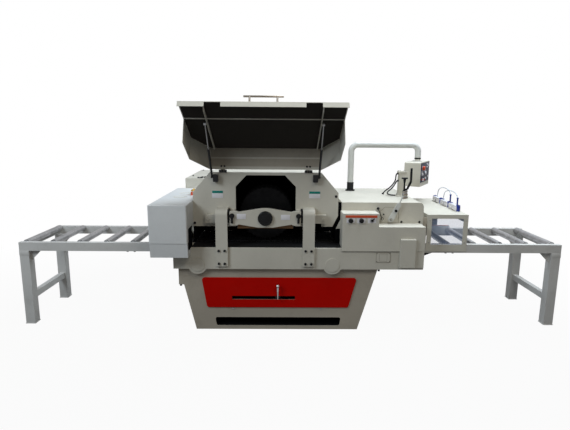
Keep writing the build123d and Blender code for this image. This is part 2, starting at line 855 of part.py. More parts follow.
hood_top_half = plate_top_half
hood_run = hood_fold - hood_start
hood_drop = hood_fold_drop - hood_start_drop
gate_plane = Plane(origin=hood_plane.from_local_coords((hood_start, 0, 0)),
                   x_dir=(1, 0, 0), z_dir=hood_forward)
gate_dir = hood_plane.from_local_coords((hood_run, -hood_drop, 0)) - hood_plane.origin
front_outline = [
    (-hood_half, -hood_lip_drop), (-hood_half, -hood_fold_drop - hood_chamfer_drop),
    (-hood_top_half, -hood_fold_drop), (hood_top_half, -hood_fold_drop),
    (hood_half, -hood_fold_drop - hood_chamfer_drop), (hood_half, -hood_lip_drop)]
with BuildPart() as hood_shell:
    with BuildSketch(gate_plane):
        gate = [(-hood_half, -hood_side_drop_back / 2), (-hood_half, -hood_start_drop - hood_chamfer_drop),
                (-hood_top_half, -hood_start_drop), (hood_top_half, -hood_start_drop),
                (hood_half, -hood_start_drop - hood_chamfer_drop), (hood_half, -hood_side_drop_back / 2)]
        inner = [(-hood_half + sheet, -hood_side_drop_back / 2),
                 (-hood_half + sheet, -hood_start_drop - hood_chamfer_drop - sheet / 2),
                 (-hood_top_half + sheet / 2, -hood_start_drop - sheet),
                 (hood_top_half - sheet / 2, -hood_start_drop - sheet),
                 (hood_half - sheet, -hood_start_drop - hood_chamfer_drop - sheet / 2),
                 (hood_half - sheet, -hood_side_drop_back / 2)]
        with BuildLine():
            Polyline(*gate, close=True)
        make_face()
        with BuildLine():
            Polyline(*inner, close=True)
        make_face(mode=Mode.SUBTRACT)
    extrude(amount=gate_dir.length, dir=gate_dir.normalized())
    for side in (-1, 1):
        x0, x1 = sorted((side * hood_half, side * (hood_half - sheet)))
        hood_prism([(hood_start, -hood_start_drop - hood_chamfer_drop),
                    (hood_fold, -hood_fold_drop - hood_chamfer_drop),
                    (hood_fold, -hood_side_drop_front), (hood_start, -hood_side_drop_back)], x0, x1)
        x0, x1 = sorted((side * rib_x, side * (rib_x + rib_thick)))
        hood_prism([(hood_fold, -hood_fold_drop - sheet), (hood_fold - rib_depth, -hood_fold_drop - rib_depth),
                    (hood_fold - rib_depth, -hood_lip_drop + 2 * rib_depth),
                    (hood_fold, -hood_lip_drop + rib_depth)],
                   x0, x1)
    with BuildSketch(front_plane):
        with BuildLine():
            Polyline(*front_outline, close=True)
        make_face()
    extrude(amount=sheet)
    flange_points = [(hood_fold + sheet, -hood_lip_drop), (hood_fold + sheet, -hood_lip_drop + sheet),
                     (hood_fold - lip_flange, -hood_lip_drop + sheet), (hood_fold - lip_flange, -hood_lip_drop)]
    hood_prism(flange_points, -hood_half, hood_half)
    notch_half = upright_width / 2 + lip_notch_margin
    for side in (-1, 1):
        centre = side * upright_x
        hood_prism([(hood_fold, -hood_lip_drop - sheet), (hood_fold, -hood_lip_drop + 3 * sheet),
                    (hood_fold - 2 * lip_flange, -hood_lip_drop + 3 * sheet),
                    (hood_fold - 2 * lip_flange, -hood_lip_drop - sheet)],
                   centre - notch_half, centre + notch_half, Mode.SUBTRACT)
    for side in (-1, 1):
        leaf_low = side * hinge_x - hinge_gap_half + seat_gap
        leaf_high = side * hinge_x + hinge_gap_half - seat_gap
        hood_prism([(0, hinge_barrel_r - 2), (hood_start + 6, -hood_start_drop - sheet / 2),
                    (hood_start + 4, -hood_start_drop - sheet), (0, -hinge_barrel_r + 2)], leaf_low, leaf_high)
        rod_x(hinge_y, hinge_z, leaf_low, leaf_high, hinge_barrel_r)
        rod_x(hinge_y, hinge_z, leaf_low, leaf_high, hinge_pin_r + run_gap, Mode.SUBTRACT)
        stud_y, stud_up = hood_point(strut_high_forward, -strut_high_drop)
        x0, x1 = sorted((side * (rib_x + rib_thick / 2), side * (strut_x - strut_half - seat_gap)))
        rod_x(stud_y, stud_up, x0, x1, strut_pin_r)

# Hood handle: a bar on two posts outside the front panel
handle_up = -hood_lip_drop + handle_above_lip
with BuildPart() as hood_handle:
    bar_at = hood_point(hood_fold + sheet + handle_stand, handle_up)
    rod_x(bar_at[0], bar_at[1], -handle_half, handle_half, handle_r)
    for side in (-1, 1):
        with BuildSketch(front_plane.offset(sheet)) as post:
            with Locations((side * handle_post_x, handle_up)):
                Circle(handle_r)
        extrude(amount=handle_stand)
save_group("hood_shell", hood_shell, hood_handle)

# Black brackets: hinge ears with pins on the plate's top, strut blocks on its face
with BuildPart() as hood_brackets:
    for side in (-1, 1):
        for start in (side * hinge_x - hinge_gap_half - hinge_ear, side * hinge_x + hinge_gap_half):
            prism_x([(hinge_y - hinge_barrel_r, plate_top), (plate_thick - 2, plate_top),
                     (plate_thick - 2, plate_top + hinge_barrel_r),
                     (hinge_y + hinge_barrel_r, hinge_z + hinge_barrel_r),
                     (hinge_y - hinge_barrel_r, hinge_z + hinge_barrel_r)], start, start + hinge_ear)
        rod_x(hinge_y, hinge_z, side * hinge_x - hinge_gap_half - hinge_ear,
              side * hinge_x + hinge_gap_half + hinge_ear, hinge_pin_r)
        x0, x1 = sorted((side * (strut_x - strut_half - seat_gap),
                         side * (strut_x - strut_half - seat_gap - strut_bracket)))
        block(x0, x1, 2 * strut_low_y, 0, strut_low_z - strut_bracket, strut_low_z + strut_bracket / 2)
        x0, x1 = sorted((side * (strut_x - 2 * strut_half), side * (strut_x + strut_half)))
        rod_x(strut_low_y, strut_low_z, x0, x1, strut_pin_r)
save(hood_brackets, "hood_brackets")

# Gas struts: tube with an eye on the plate's pin, rod with an eye at the hood's stud
strut_high = hood_point(strut_high_forward, -strut_high_drop)
strut_run = (strut_high[0] - strut_low_y, strut_high[1] - strut_low_z)
strut_length = hypot(strut_run[0], strut_run[1])
strut_dir = (0, strut_run[0] / strut_length, strut_run[1] / strut_length)
shut_y = hinge_y - strut_high_forward - strut_low_y
shut_z = hinge_z - strut_high_drop - strut_low_z
strut_shut_length = hypot(shut_y, shut_z)
strut_stroke = strut_length - strut_shut_length
strut_hold = 40.0
strut_inner_end = strut_tube_length - strut_hold
strut_bore_end = strut_inner_end - strut_stroke - 12
strut_eye_r = 12.0


def strut_plane(side, along):
    """A plane across a strut, some way from its lower pin."""
    at = (side * strut_x, strut_low_y + strut_dir[1] * along, strut_low_z + strut_dir[2] * along)
    return Plane(origin=at, x_dir=(1, 0, 0), z_dir=strut_dir)


def make_strut_tube(side):
    """The strut's cylinder with its lower eye."""
    x0 = side * strut_x - strut_half
    x1 = side * strut_x + strut_half
    with BuildPart() as tube:
        with BuildSketch(strut_plane(side, 0)) as disc:
            Circle(strut_tube_r)
        extrude(disc.sketch, amount=strut_tube_length)
        rod_x(strut_low_y, strut_low_z, x0, x1, strut_eye_r)
        rod_x(strut_low_y, strut_low_z, x0 - strut_half, x1 + strut_half, strut_pin_r + run_gap, Mode.SUBTRACT)
        with BuildSketch(strut_plane(side, strut_bore_end)) as bore:
            Circle(strut_rod_r + run_gap)
        extrude(bore.sketch, amount=strut_tube_length - strut_bore_end, mode=Mode.SUBTRACT)
    return tube


def make_strut_rod(side):
    """The strut's rod with its upper eye."""
    x0 = side * strut_x - strut_half
    x1 = side * strut_x + strut_half
    with BuildPart() as piston:
        with BuildSketch(strut_plane(side, strut_inner_end)) as disc:
            Circle(strut_rod_r)
        extrude(disc.sketch, amount=strut_length - strut_inner_end)
        rod_x(strut_high[0], strut_high[1], x0, x1, strut_eye_r)
        rod_x(strut_high[0], strut_high[1], x0, x1, strut_pin_r + run_gap, Mode.SUBTRACT)
    return piston


strut_cylinder_left = make_strut_tube(-1)
save(strut_cylinder_left, "strut_cylinder_left")
strut_cylinder_right = make_strut_tube(1)
save(strut_cylinder_right, "strut_cylinder_right")
strut_rod_left = make_strut_rod(-1)
save(strut_rod_left, "strut_rod_left")
strut_rod_right = make_strut_rod(1)
save(strut_rod_right, "strut_rod_right")


def hang_axle(x, top):
    """Two hangers with an axle between them for a pressure roller."""
    for y in (press_front - hanger - seat_gap, press_back + seat_gap):
        block(x - hanger_half, x + hanger_half, y, y + hanger, press_height - hanger_half, top)
    rod_y(x, press_height, press_front - hanger, press_back + hanger, press_axle_r)


# Left housing over the infeed, open below and at the wood's height
lh_right = -plate_half
with BuildPart() as left_housing:
    block(lh_left, lh_right, lh_front, lh_back, lh_split, lh_top)
    fillet(left_housing.edges().filter_by(Axis.Z).group_by(Axis.Y)[0], lh_corner)
    fillet(left_housing.faces().sort_by(Axis.Z)[-1].edges(), lh_corner / 2)
    block(lh_left, lh_right, bed_front, lh_back, bed_top, lh_split)
    block(lh_left + sheet, lh_right - sheet, lh_front + sheet, lh_back - sheet, bed_top, lh_top - sheet,
          Mode.SUBTRACT)
    block(lh_left, lh_right, bed_front + foot_strip, pass_back, bed_top, pass_top, Mode.SUBTRACT)
    hang_axle(press_left_x, lh_top - sheet / 2)
with BuildPart() as left_skirt:
    for inset, mode in ((sheet, Mode.ADD), (2 * sheet, Mode.SUBTRACT)):
        prism_x([(lh_front + inset, lh_split), (bed_front, lh_split), (bed_front, lh_bottom),
                 (lh_front + inset + skirt_lean, lh_bottom)], lh_left + inset, lh_right - inset, mode)
with BuildPart() as cock_body:
    rod_z(cock_x, cock_y, lh_top, lh_top + cock_height, cock_r)
    rod_z(cock_x, cock_y, lh_top + cock_height / 2, lh_top + cock_height, cock_pin_r + run_gap, Mode.SUBTRACT)
save_group("left_housing", left_housing, left_skirt, cock_body)

# Shut-off cock's lever on the left housing
cock_lever_z = lh_top + cock_height + seat_gap
with BuildPart() as cock_lever:
    rod_z(cock_x, cock_y, lh_top + cock_height / 2 + seat_gap, cock_lever_z + cock_lever_thick, cock_pin_r)
    with BuildSketch(Plane.XY.offset(cock_lever_z)):
        with Locations((cock_x, cock_y + cock_lever_length / 2)):
            SlotCenterToCenter(cock_lever_length, 2 * cock_r, rotation=90)
    extrude(amount=cock_lever_thick)
save(cock_lever, "cock_lever")

# Rear cabinet: a deep switch cabinet and the cover of the main drive beside it
with BuildPart() as rear_cabinet:
    block(cabinet_left, cabinet_elbow, lh_back, cabinet_back, 0, cabinet_top)
    fillet(rear_cabinet.faces().sort_by(Axis.Z)[-1].edges(), 5)
    block(cabinet_left + sheet, cabinet_elbow - sheet, lh_back + sheet, cabinet_back - sheet,
          sheet, cabinet_top - sheet, Mode.SUBTRACT)
    block(cabinet_elbow, cabinet_right, lh_back, drive_back, 0, drive_top)
    block(cabinet_elbow, cabinet_right - sheet, lh_back + sheet, drive_back - sheet,
          sheet, drive_top - sheet, Mode.SUBTRACT)
    rod_y(0, arbor_height, lh_back, lh_back + sheet, shaft_hole_r, Mode.SUBTRACT)
    for row in range(2):
        for column in range(2):
            rod_z(cabinet_left + eyelet_in + column * eyelet_pitch + row * eyelet_shift,
                  lh_back + eyelet_back + row * eyelet_step, cabinet_top - sheet, cabinet_top, eyelet_r,
                  Mode.SUBTRACT)
save(rear_cabinet, "rear_cabinet")

# Right housing over the outfeed
with BuildPart() as right_housing:
    block(rh_left, rh_right, 0, rh_back, bed_top, rh_top)
    fillet(right_housing.edges().filter_by(Axis.Y).group_by(Axis.Z)[-1].group_by(Axis.X)[-1], rh_corner)
    block(rh_left + sheet, rh_right - sheet, sheet, rh_back - sheet, bed_top, rh_top - rh_corner, Mode.SUBTRACT)
    block(rh_left + sheet, rh_right - rh_corner, sheet, rh_back - sheet, bed_top, rh_top - sheet, Mode.SUBTRACT)
    block(rh_left, rh_right, press_front - 2 * hanger, pass_back, bed_top, pass_top, Mode.SUBTRACT)
    hang_axle(press_right_x, rh_top - sheet / 2)
    prism_y([(panel_left, panel_bottom), (panel_left, panel_top - panel_cut), (panel_left + panel_cut, panel_top),
             (panel_right, panel_top), (panel_right, panel_bottom)], -panel_thick, 0)
    for x, z in ((ball_lever_x, ball_lever_z), (link_x, link_z)):
        rod_y(x, z, -link_stand, sheet, lever_boss_r)
        rod_y(x, z, -link_stand - 2 * link_thick, -link_stand, lever_boss_r / 2)
save(right_housing, "right_housing")

# Control cover: an L-shaped shell in front of the right housing, and the bed's end covers
cover_top = [(bed_right, cc_low_top), (cc_step, cc_low_top), (cc_step, cc_top), (cc_left, cc_top)]
cover_outline = [(cc_left, bed_top), (bed_right, bed_top)] + cover_top
apron_outline = [(cc_left, cc_bottom), (bed_right, cc_bottom)] + cover_top
with BuildPart() as control_cover:
    prism_y(apron_outline, cc_front, bed_front)
    prism_y(cover_outline, bed_front, 0)
    fillet(control_cover.edges().filter_by(Axis.Y).group_by(Axis.Z)[-1], cc_corner)
    fillet(control_cover.edges().filter_by(Axis.Y).group_by(Axis.X)[-1].sort_by(Axis.Z)[-1], cc_corner)
    chamfer(control_cover.faces().sort_by(Axis.Y)[0].edges(), 3)
    with BuildSketch(Plane.XZ.offset(-cc_front - sheet)) as inside:
        with BuildLine():
            Polyline(*cover_outline, close=True)
        make_face()
        offset(amount=-2 * sheet, kind=Kind.INTERSECTION, mode=Mode.REPLACE)
    extrude(amount=cc_front + sheet, mode=Mode.SUBTRACT)
    for index in range(3):
        rod_y(reg_first + index * reg_pitch, reg_z, cc_front, cc_front + sheet, reg_stem_r + run_gap,
              Mode.SUBTRACT)

with BuildPart() as end_block:
    block(end_left, bed_right, cc_front + end_set_back, bed_front, end_bottom, cc_bottom)
    chamfer(end_block.faces().sort_by(Axis.Y)[0].edges(), 3)
with BuildPart() as slim_cover:
    block(end_left, slim_right, cc_front - slim_depth, cc_front, slim_bottom, slim_top)
    fillet(slim_cover.faces().sort_by(Axis.Y)[0].edges(), 5)
save_group("control_cover", control_cover, end_block, slim_cover)

# Lever switch on the control cover
switch_x = reg_first + 2 * reg_pitch
switch_boss_r = 11.0
switch_boss = 9.0
switch_pin_r = 4.0
switch_reach = 26.0
with BuildPart() as switch_lever:
    rod_y(switch_x, reg_z, cc_front - seat_gap - switch_boss, cc_front - seat_gap, switch_boss_r)
    rod_y(switch_x, reg_z, cc_front - seat_gap - switch_boss, cc_front + 2 * sheet, reg_stem_r)
    with BuildSketch(Plane.XZ.offset(-cc_front + seat_gap + switch_boss)):
        with Locations(Location((switch_x + switch_reach / 3, reg_z + switch_reach / 3, 0), (0, 0, 45))):
            SlotCenterToCenter(switch_reach, 2 * switch_pin_r)
    extrude(amount=switch_pin_r, both=True)
save(switch_lever, "switch_lever")


def make_press(x):
    """A pressure roller on its hangers' axle."""
    with BuildPart() as press:
        ring_y(x, press_height, press_front, press_back, press_r, press_axle_r + run_gap)
    return press


infeed_press_roller = make_press(press_left_x)
save(infeed_press_roller, "infeed_press_roller")
outfeed_press_roller = make_press(press_right_x)
save(outfeed_press_roller, "outfeed_press_roller")


def make_regulator(x):
    """A regulator knob with its stem in the cover's hole."""
    with BuildPart() as knob:
        rod_y(x, reg_z, cc_front - seat_gap - reg_thick, cc_front - seat_gap, reg_r)
        chamfer(knob.edges().filter_by(GeomType.CIRCLE).group_by(Axis.Y)[0], 3)
        rod_y(x, reg_z, cc_front - seat_gap - reg_thick / 2, cc_front + 2 * sheet, reg_stem_r)
    return knob


regulator_knob_left = make_regulator(reg_first)
save(regulator_knob_left, "regulator_knob_left")
regulator_knob_right = make_regulator(reg_first + reg_pitch)
save(regulator_knob_right, "regulator_knob_right")

# Levers on the right housing's front
lever_pin_r = lever_boss_r / 2
lever_front = -link_stand - link_thick - seat_gap
ball_r = 13.0
ball_neck_r = 3.0
ball_run = (ball_tip_x - ball_lever_x, ball_tip_z - ball_lever_z)
ball_length = hypot(ball_run[0], ball_run[1])
ball_along = (ball_run[0] / ball_length, 0, ball_run[1] / ball_length)
ball_plane = Plane(origin=(ball_lever_x, lever_front + link_thick / 2, ball_lever_z),
                   x_dir=(-ball_along[2], 0, ball_along[0]), z_dir=(0, -1, 0))
ball_sign = 1 if ball_plane.y_dir.dot(Vector(*ball_along)) > 0 else -1
ball_meet = ball_length - (ball_r ** 2 - ball_neck_r ** 2) ** 0.5
with BuildPart() as ball_lever:
    with BuildSketch(ball_plane):
        with BuildLine():
            Polyline((0, ball_sign * (ball_length + ball_r)), (0, ball_sign * lever_boss_r * 0.8),
                     (ball_neck_r, ball_sign * lever_boss_r * 0.8), (ball_neck_r, ball_sign * ball_meet))
            ThreePointArc((ball_neck_r, ball_sign * ball_meet), (ball_r, ball_sign * ball_length),
                          (0, ball_sign * (ball_length + ball_r)))
        make_face()
    revolve(axis=Axis(ball_plane.origin, ball_along))
    rod_y(ball_lever_x, ball_lever_z, lever_front, lever_front + link_thick, lever_boss_r)
    rod_y(ball_lever_x, ball_lever_z, lever_front, lever_front + link_thick, lever_pin_r + run_gap, Mode.SUBTRACT)
save(ball_lever, "ball_lever")

with BuildPart() as link_lever:
    link_length = hypot(link_tip_x - link_x, link_tip_z - link_z)
    side_x = (link_z - link_tip_z) / link_length
    side_z = (link_tip_x - link_x) / link_length
    rod_turn = degrees(atan2(link_rod_z - link_tip_z, link_rod_x - link_tip_x))
    rod_length = hypot(link_rod_x - link_tip_x, link_rod_z - link_tip_z)
    with BuildSketch(Plane.XZ.offset(-lever_front)):
        with Locations((link_x, link_z)):
            Circle(link_half)
        with Locations((link_tip_x, link_tip_z)):
            Circle(link_tip_half)
        with BuildLine():
            Polyline((link_x + side_x * link_half, link_z + side_z * link_half),
                     (link_tip_x + side_x * link_tip_half, link_tip_z + side_z * link_tip_half),
                     (link_tip_x - side_x * link_tip_half, link_tip_z - side_z * link_tip_half),
                     (link_x - side_x * link_half, link_z - side_z * link_half), close=True)
        make_face()
        with Locations(Location(((link_tip_x + link_rod_x) / 2, (link_tip_z + link_rod_z) / 2, 0), (0, 0, rod_turn))):
            SlotCenterToCenter(rod_length, 2 * link_rod_half)
    extrude(amount=-link_thick)
    rod_y(link_x + link_knob_share * (link_tip_x - link_x), link_z + link_knob_share * (link_tip_z - link_z),
          lever_front - link_knob, lever_front, link_knob_r)
    rod_y(link_x, link_z, lever_front - link_thick, lever_front + 2 * link_thick, lever_pin_r + run_gap,
          Mode.SUBTRACT)
save(link_lever, "link_lever")

# Lift cylinder, the T-handle's boss and the black hoses
tee_boss_r = 16.0
tee_boss_top = 1270.0
tee_stem_r = 8.0
tee_half = 29.0
cap = 12.0
with BuildPart() as lift_cylinder:
    block(lift_x - lift_half, lift_x + lift_half, lift_y - lift_half, lift_y + lift_half, rh_top, lift_top - cap)
    fillet(lift_cylinder.edges().filter_by(Axis.Z), 6)
    block(lift_x - lift_half - 5, lift_x + lift_half + 5, lift_y - lift_half - 5, lift_y + lift_half + 5,
          lift_top - cap, lift_top)
with BuildPart() as tee_boss:
    rod_z(tee_x, tee_y, rh_top, tee_boss_top, tee_boss_r)
    rod_z(tee_x, tee_y, rh_top + cap, tee_boss_top, tee_stem_r + run_gap, Mode.SUBTRACT)
with BuildPart() as valve_body:
    rod_z(valve_x, valve_y, rh_top, valve_top, valve_r)
    rod_z(valve_x, valve_y, valve_top - 3 * valve_pin_r, valve_top, valve_pin_r + run_gap, Mode.SUBTRACT)

with BuildPart() as t_handle:
    rod_z(tee_x, tee_y, rh_top + cap + seat_gap, tee_top, tee_stem_r)
    rod_x(tee_y, tee_top, tee_x - tee_half, tee_x + tee_half, tee_stem_r)
    rod_z(tee_x, tee_y, tee_boss_top + seat_gap, tee_boss_top + cap, tee_boss_r - 3)
save(t_handle, "t_handle")

hose_r = 4.5
lift_left = lift_x - lift_half
hose_bend = 24.0
hose_out = 34.0
hose_drift = 10.0
hose_runs = ((120.0, 230.0, 150.0, 75.0, 0.0, 110.0), (78.0, 155.0, 95.0, 50.0, -20.0, 10.0))
with BuildPart() as air_hoses:
    for reach, port, neck, foot, shift, back in hose_runs:
        with BuildLine() as path:
            FilletPolyline((lift_left, lift_y + shift, rh_top + port),
                           (lift_left - hose_out, lift_y + shift, rh_top + port),
                           (lift_left - hose_out - hose_drift, lift_y + shift, rh_top + neck),
                           (lift_left - reach, lift_y + back, rh_top + foot),
                           (lift_left - reach, lift_y + back, rh_top), radius=hose_bend)
        with BuildSketch(Plane(origin=path.line @ 0, z_dir=path.line % 0)):
            Circle(hose_r)
        sweep(path=path.line)
save_group("lift_cylinder", lift_cylinder, tee_boss, valve_body, air_hoses)

# Hand valve: a flat black lever, bent twice, that turns on the valve
with BuildPart() as valve_lever:
    rod_z(valve_x, valve_y, valve_top - 3 * valve_pin_r + seat_gap, valve_top + seat_gap + valve_hub, valve_pin_r)
    rod_z(valve_x, valve_y, valve_top + seat_gap, valve_top + seat_gap + valve_hub, valve_r - 2)
    lever_foot = valve_top + valve_hub / 2
    prism_y([(valve_x, lever_foot), (valve_x + valve_bend_x, lever_foot + valve_bend_z),
             (valve_x + valve_bend_x, valve_lever_top), (valve_x + valve_bend_x + valve_bar, valve_lever_top),
             (valve_x + valve_bend_x + valve_bar, lever_foot + valve_bend_z - valve_bar / 2),
             (valve_x + valve_bar, lever_foot)], valve_y - valve_bar / 2, valve_y + valve_bar / 2)
save(valve_lever, "valve_lever")

# Pendant: flanged post, swivel arm, box and its buttons
with BuildPart() as pendant_post:
    rod_z(post_x, post_y, rh_top, rh_top + post_flange, post_flange_r)
    rod_z(post_x, post_y, rh_top, post_sleeve_top, post_sleeve_r)
    rod_z(post_x, post_y, rh_top + tube_inset - seat_gap, post_sleeve_top, tube_r + run_gap, Mode.SUBTRACT)
save(pendant_post, "pendant_post")

with BuildPart() as pendant_arm:
    with BuildLine() as path:
        FilletPolyline((post_x, post_y, rh_top + tube_inset), (post_x, post_y, tube_top),
                       (tube_end_x, post_y, tube_top), (tube_end_x, post_y, tube_end_z), radius=tube_bend)
    with BuildSketch(Plane.XY.offset(rh_top + tube_inset)):
        with Locations((post_x, post_y)):
            Circle(tube_r)
    sweep(path=path.line)
save(pendant_arm, "pendant_arm")

box_half = box_deep / 2
box_normal = (cos(radians(box_turn)), sin(radians(box_turn)), 0)
box_across = (-box_normal[1], box_normal[0], 0)
box_plane = Plane(origin=(tube_end_x, post_y, (box_top + box_bottom) / 2), x_dir=box_across, z_dir=box_normal)
box_high = box_top - box_bottom
button_spots = {"estop_button": (-104, 64, 22), "start_button": (-130, 4, 16), "stop_button": (18, 6, 16)}
with BuildPart() as pendant_box:
    with BuildSketch(box_plane.offset(-box_half)):
        RectangleRounded(box_wide, box_high, 12)
    extrude(amount=box_deep)
    with BuildSketch(box_plane.offset(-box_half + box_wall)):
        Rectangle(box_wide - 2 * box_wall, box_high - 2 * box_wall)
    extrude(amount=box_deep - 2 * box_wall, mode=Mode.SUBTRACT)
    rod_z(tube_end_x, post_y, box_top - box_wall, tube_end_z - seat_gap, neck_r)
    for across, up, r in button_spots.values():
        with BuildSketch(box_plane.offset(box_half)):
            with Locations((across, up)):
                Circle(button_stem_r + run_gap)
        extrude(amount=-box_wall, mode=Mode.SUBTRACT)
save(pendant_box, "pendant_box")

for name, (across, up, r) in button_spots.items():
    with BuildPart() as button:
        with BuildSketch(box_plane.offset(box_half - 2 * box_wall)):
            with Locations((across, up)):
                Circle(button_stem_r)
        extrude(amount=2 * box_wall + 2 * button_travel)
        with BuildSketch(box_plane.offset(box_half + button_travel + seat_gap)):
            with Locations((across, up)):
                Circle(r)
        extrude(amount=2 * button_travel)
    save(button, name)

# Outfeed guard with its window
with BuildPart() as outfeed_guard:
    block(og_left, og_right, og_front, og_back, og_bottom, og_top)
    block(og_left + sheet, og_right - sheet, 0, og_back - sheet, og_bottom, og_top - sheet, Mode.SUBTRACT)
    block(og_left, og_right, 0, table_depth + og_frame, og_bottom, pass_top, Mode.SUBTRACT)
    block(og_left + og_frame, og_right - og_frame, og_front, 0, og_window_bottom, og_window_top, Mode.SUBTRACT)
save(outfeed_guard, "outfeed_guard")

# Air units on the guard: bodies between cheeks, joined by hose loops
with BuildPart() as unit_bodies:
    for index in range(unit_count):
        y = unit_first + index * unit_pitch
        block(unit_x - unit_width / 2, unit_x + unit_width / 2,
              y - unit_length / 2 + cheek, y + unit_length / 2 - cheek,
              og_top, og_top + unit_height - cheek_over)
with BuildPart() as unit_cheeks:
    for index in range(unit_count):
        y = unit_first + index * unit_pitch
        for start in (y - unit_length / 2, y + unit_length / 2 - cheek):
            block(unit_x - unit_width / 2 - 4, unit_x + unit_width / 2 + 4, start, start + cheek,
                  og_top, og_top + unit_height)
    fillet(unit_cheeks.edges().filter_by(Axis.Y), 6)
with BuildPart() as unit_loops:
    for index in range(unit_count - 1):
        x = unit_x + (2 * index - 1) * loop_shift
        y0 = unit_first + index * unit_pitch - unit_length / 2 + cheek / 2
        y1 = unit_first + (index + 1) * unit_pitch + unit_length / 4
        low = og_top + unit_height - cheek_over
        top = og_top + unit_height + loop_post
        rod_z(x, y0, low, top, loop_post_r)
        with BuildLine() as path:
            ThreePointArc((x, y0, top - loop_r), (x, (y0 + y1) / 2, top + loop_rise), (x, y1, low))
        with BuildSketch(Plane(origin=path.line @ 0, z_dir=path.line % 0)):
            Circle(loop_r)
        sweep(path=path.line)
save_group("air_units", unit_bodies, unit_cheeks, unit_loops)


def make_table(inner, outer, first):
    """A roller table's frame with its axles; inner is the end at the bed."""
    rail_bottom = rail_top - rail_height
    side = 1 if outer > inner else -1
    x0, x1 = sorted((inner, outer))
    l0, l1 = sorted((outer, outer - side * leg))
    with BuildPart() as table:
        block(x0, x1, 0, rail_depth, rail_bottom, rail_top)
        block(x0, x1, table_depth - rail_depth, table_depth, rail_bottom, rail_top)
        e0, e1 = sorted((outer, outer - side * rail_depth / 2))
        block(e0, e1, 0, table_depth, rail_bottom, roller_z - roller_r - 3)
        for y in (0, table_depth - leg):
            block(l0, l1, y, y + leg, 0, rail_bottom)
            g = outer - side * leg
            prism_y([(g, rail_bottom), (g - side * table_gusset, rail_bottom), (g, rail_bottom - table_gusset)],
                    y + leg / 2 - 5, y + leg / 2 + 5)
        block((l0 + l1 - stretcher_w) / 2, (l0 + l1 + stretcher_w) / 2, leg / 2, table_depth - leg / 2,
              stretcher_z - stretcher_h / 2, stretcher_z + stretcher_h / 2)
        for index in range(roller_count):
            x = first + index * roller_pitch
            rod_y(x, roller_z, rail_depth / 2, table_depth - rail_depth / 2, roller_axle_r)
    return table


left_table = make_table(bed_left, table_left, roller_first_left)
save(left_table, "left_table")
right_table = make_table(bed_right, table_right, roller_first_right)
save(right_table, "right_table")

for side_name, first in (("left", roller_first_left), ("right", roller_first_right)):
    for index in range(roller_count):
        with BuildPart() as roller:
            ring_y(first + index * roller_pitch, roller_z, rail_depth + roller_end_gap,
                   table_depth - rail_depth - roller_end_gap, roller_r, roller_axle_r + run_gap)
        save(roller, f"{side_name}_roller_{index + 1}")
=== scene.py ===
"""Looks of the multi-rip saw: paint with some painted light and shade, metal, black linings of painted shade,
small fittings, light and camera.
"""

import json
from math import cos, pi, radians, sin, tau

import bmesh
import bpy
from mathutils import Matrix, Vector


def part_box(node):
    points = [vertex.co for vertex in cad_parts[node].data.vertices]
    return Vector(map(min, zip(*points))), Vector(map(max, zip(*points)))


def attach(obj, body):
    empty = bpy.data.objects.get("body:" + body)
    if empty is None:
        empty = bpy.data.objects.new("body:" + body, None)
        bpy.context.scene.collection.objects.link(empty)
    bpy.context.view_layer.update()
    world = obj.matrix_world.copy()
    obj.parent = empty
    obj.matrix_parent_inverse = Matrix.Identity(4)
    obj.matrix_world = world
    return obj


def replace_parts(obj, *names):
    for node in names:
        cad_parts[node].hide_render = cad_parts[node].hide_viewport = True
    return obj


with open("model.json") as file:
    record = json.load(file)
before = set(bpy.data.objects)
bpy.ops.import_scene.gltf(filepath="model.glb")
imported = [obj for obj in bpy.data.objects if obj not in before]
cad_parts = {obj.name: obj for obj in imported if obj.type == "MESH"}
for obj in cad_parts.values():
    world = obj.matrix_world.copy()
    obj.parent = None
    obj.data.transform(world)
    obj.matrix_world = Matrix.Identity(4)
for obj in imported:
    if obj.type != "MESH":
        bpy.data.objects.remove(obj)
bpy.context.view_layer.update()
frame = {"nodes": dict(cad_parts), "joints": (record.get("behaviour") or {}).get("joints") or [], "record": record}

bl_info = {
    "name": "Multi-Rip Saw Dressing",
    "version": (1, 0, 0),
    "blender": (4, 5, 0),
    "location": "View3D > Sidebar > Saw",
    # The linings are black sheets of painted shade
    "description": "Paints the saw's frame and adds its linings, fittings, light and camera",
    "category": "Object",
}

MACHINE = "machine"
HOOD = "hood"
JOINTS = {joint["name"]: joint for joint in frame["joints"]}
X_AXIS = Vector((1, 0, 0))
Y_AXIS = Vector((0, 1, 0))
Z_AXIS = Vector((0, 0, 1))
FRONTWARD = Vector((0, -1, 0))
SIDES = (-1, 1)

# Small steps and roundings in metres, the width of rubbed paint edges, and the sides of a nut
CLEAR = 0.0002
HAIR = 0.0005
FINE = 0.001
SOFT = 0.002
BROAD = 0.003
RUB_WIDTH = 0.0035
HEX = 6

# Angles in degrees: what shades as a crease, and what a bevel rounds
CREASE = 40.0
SHARP = 28.65

# The picture's width in pixels, the sensor's in millimetres, and the share of white that mirrors see
IMAGE_WIDTH = 570
SENSOR = 36.0
MIRRORED = 0.35
WHITE = (1, 1, 1, 1)
ROOM_COLOUR = (1, 0.98, 0.94, 1)
FLOOR_COLOUR = (0.15, 0.15, 0.15, 1)
FLOOR_DULL = 0.9
FLOOR_HALF = 40.0
# The floor's shadow: whiteness near the machine, and between which distances it fades to white
SHADOW_PALE = 0.955
SHADOW_REACH = (2.6, 5.0)
# The lamps: place, aim, width
TOP_LAMP = ((2.3, 0.8, 5.2), (1.8, 0.6, 0.0), 4.0)
SIDE_LAMP = ((-3.9, -3.2, 4.2), (-0.8, 0.0, 0.9), 2.2)
FRONT_LAMP = ((1.6, -3.6, 5.0), (0.6, 0.0, 0.8), 2.0)

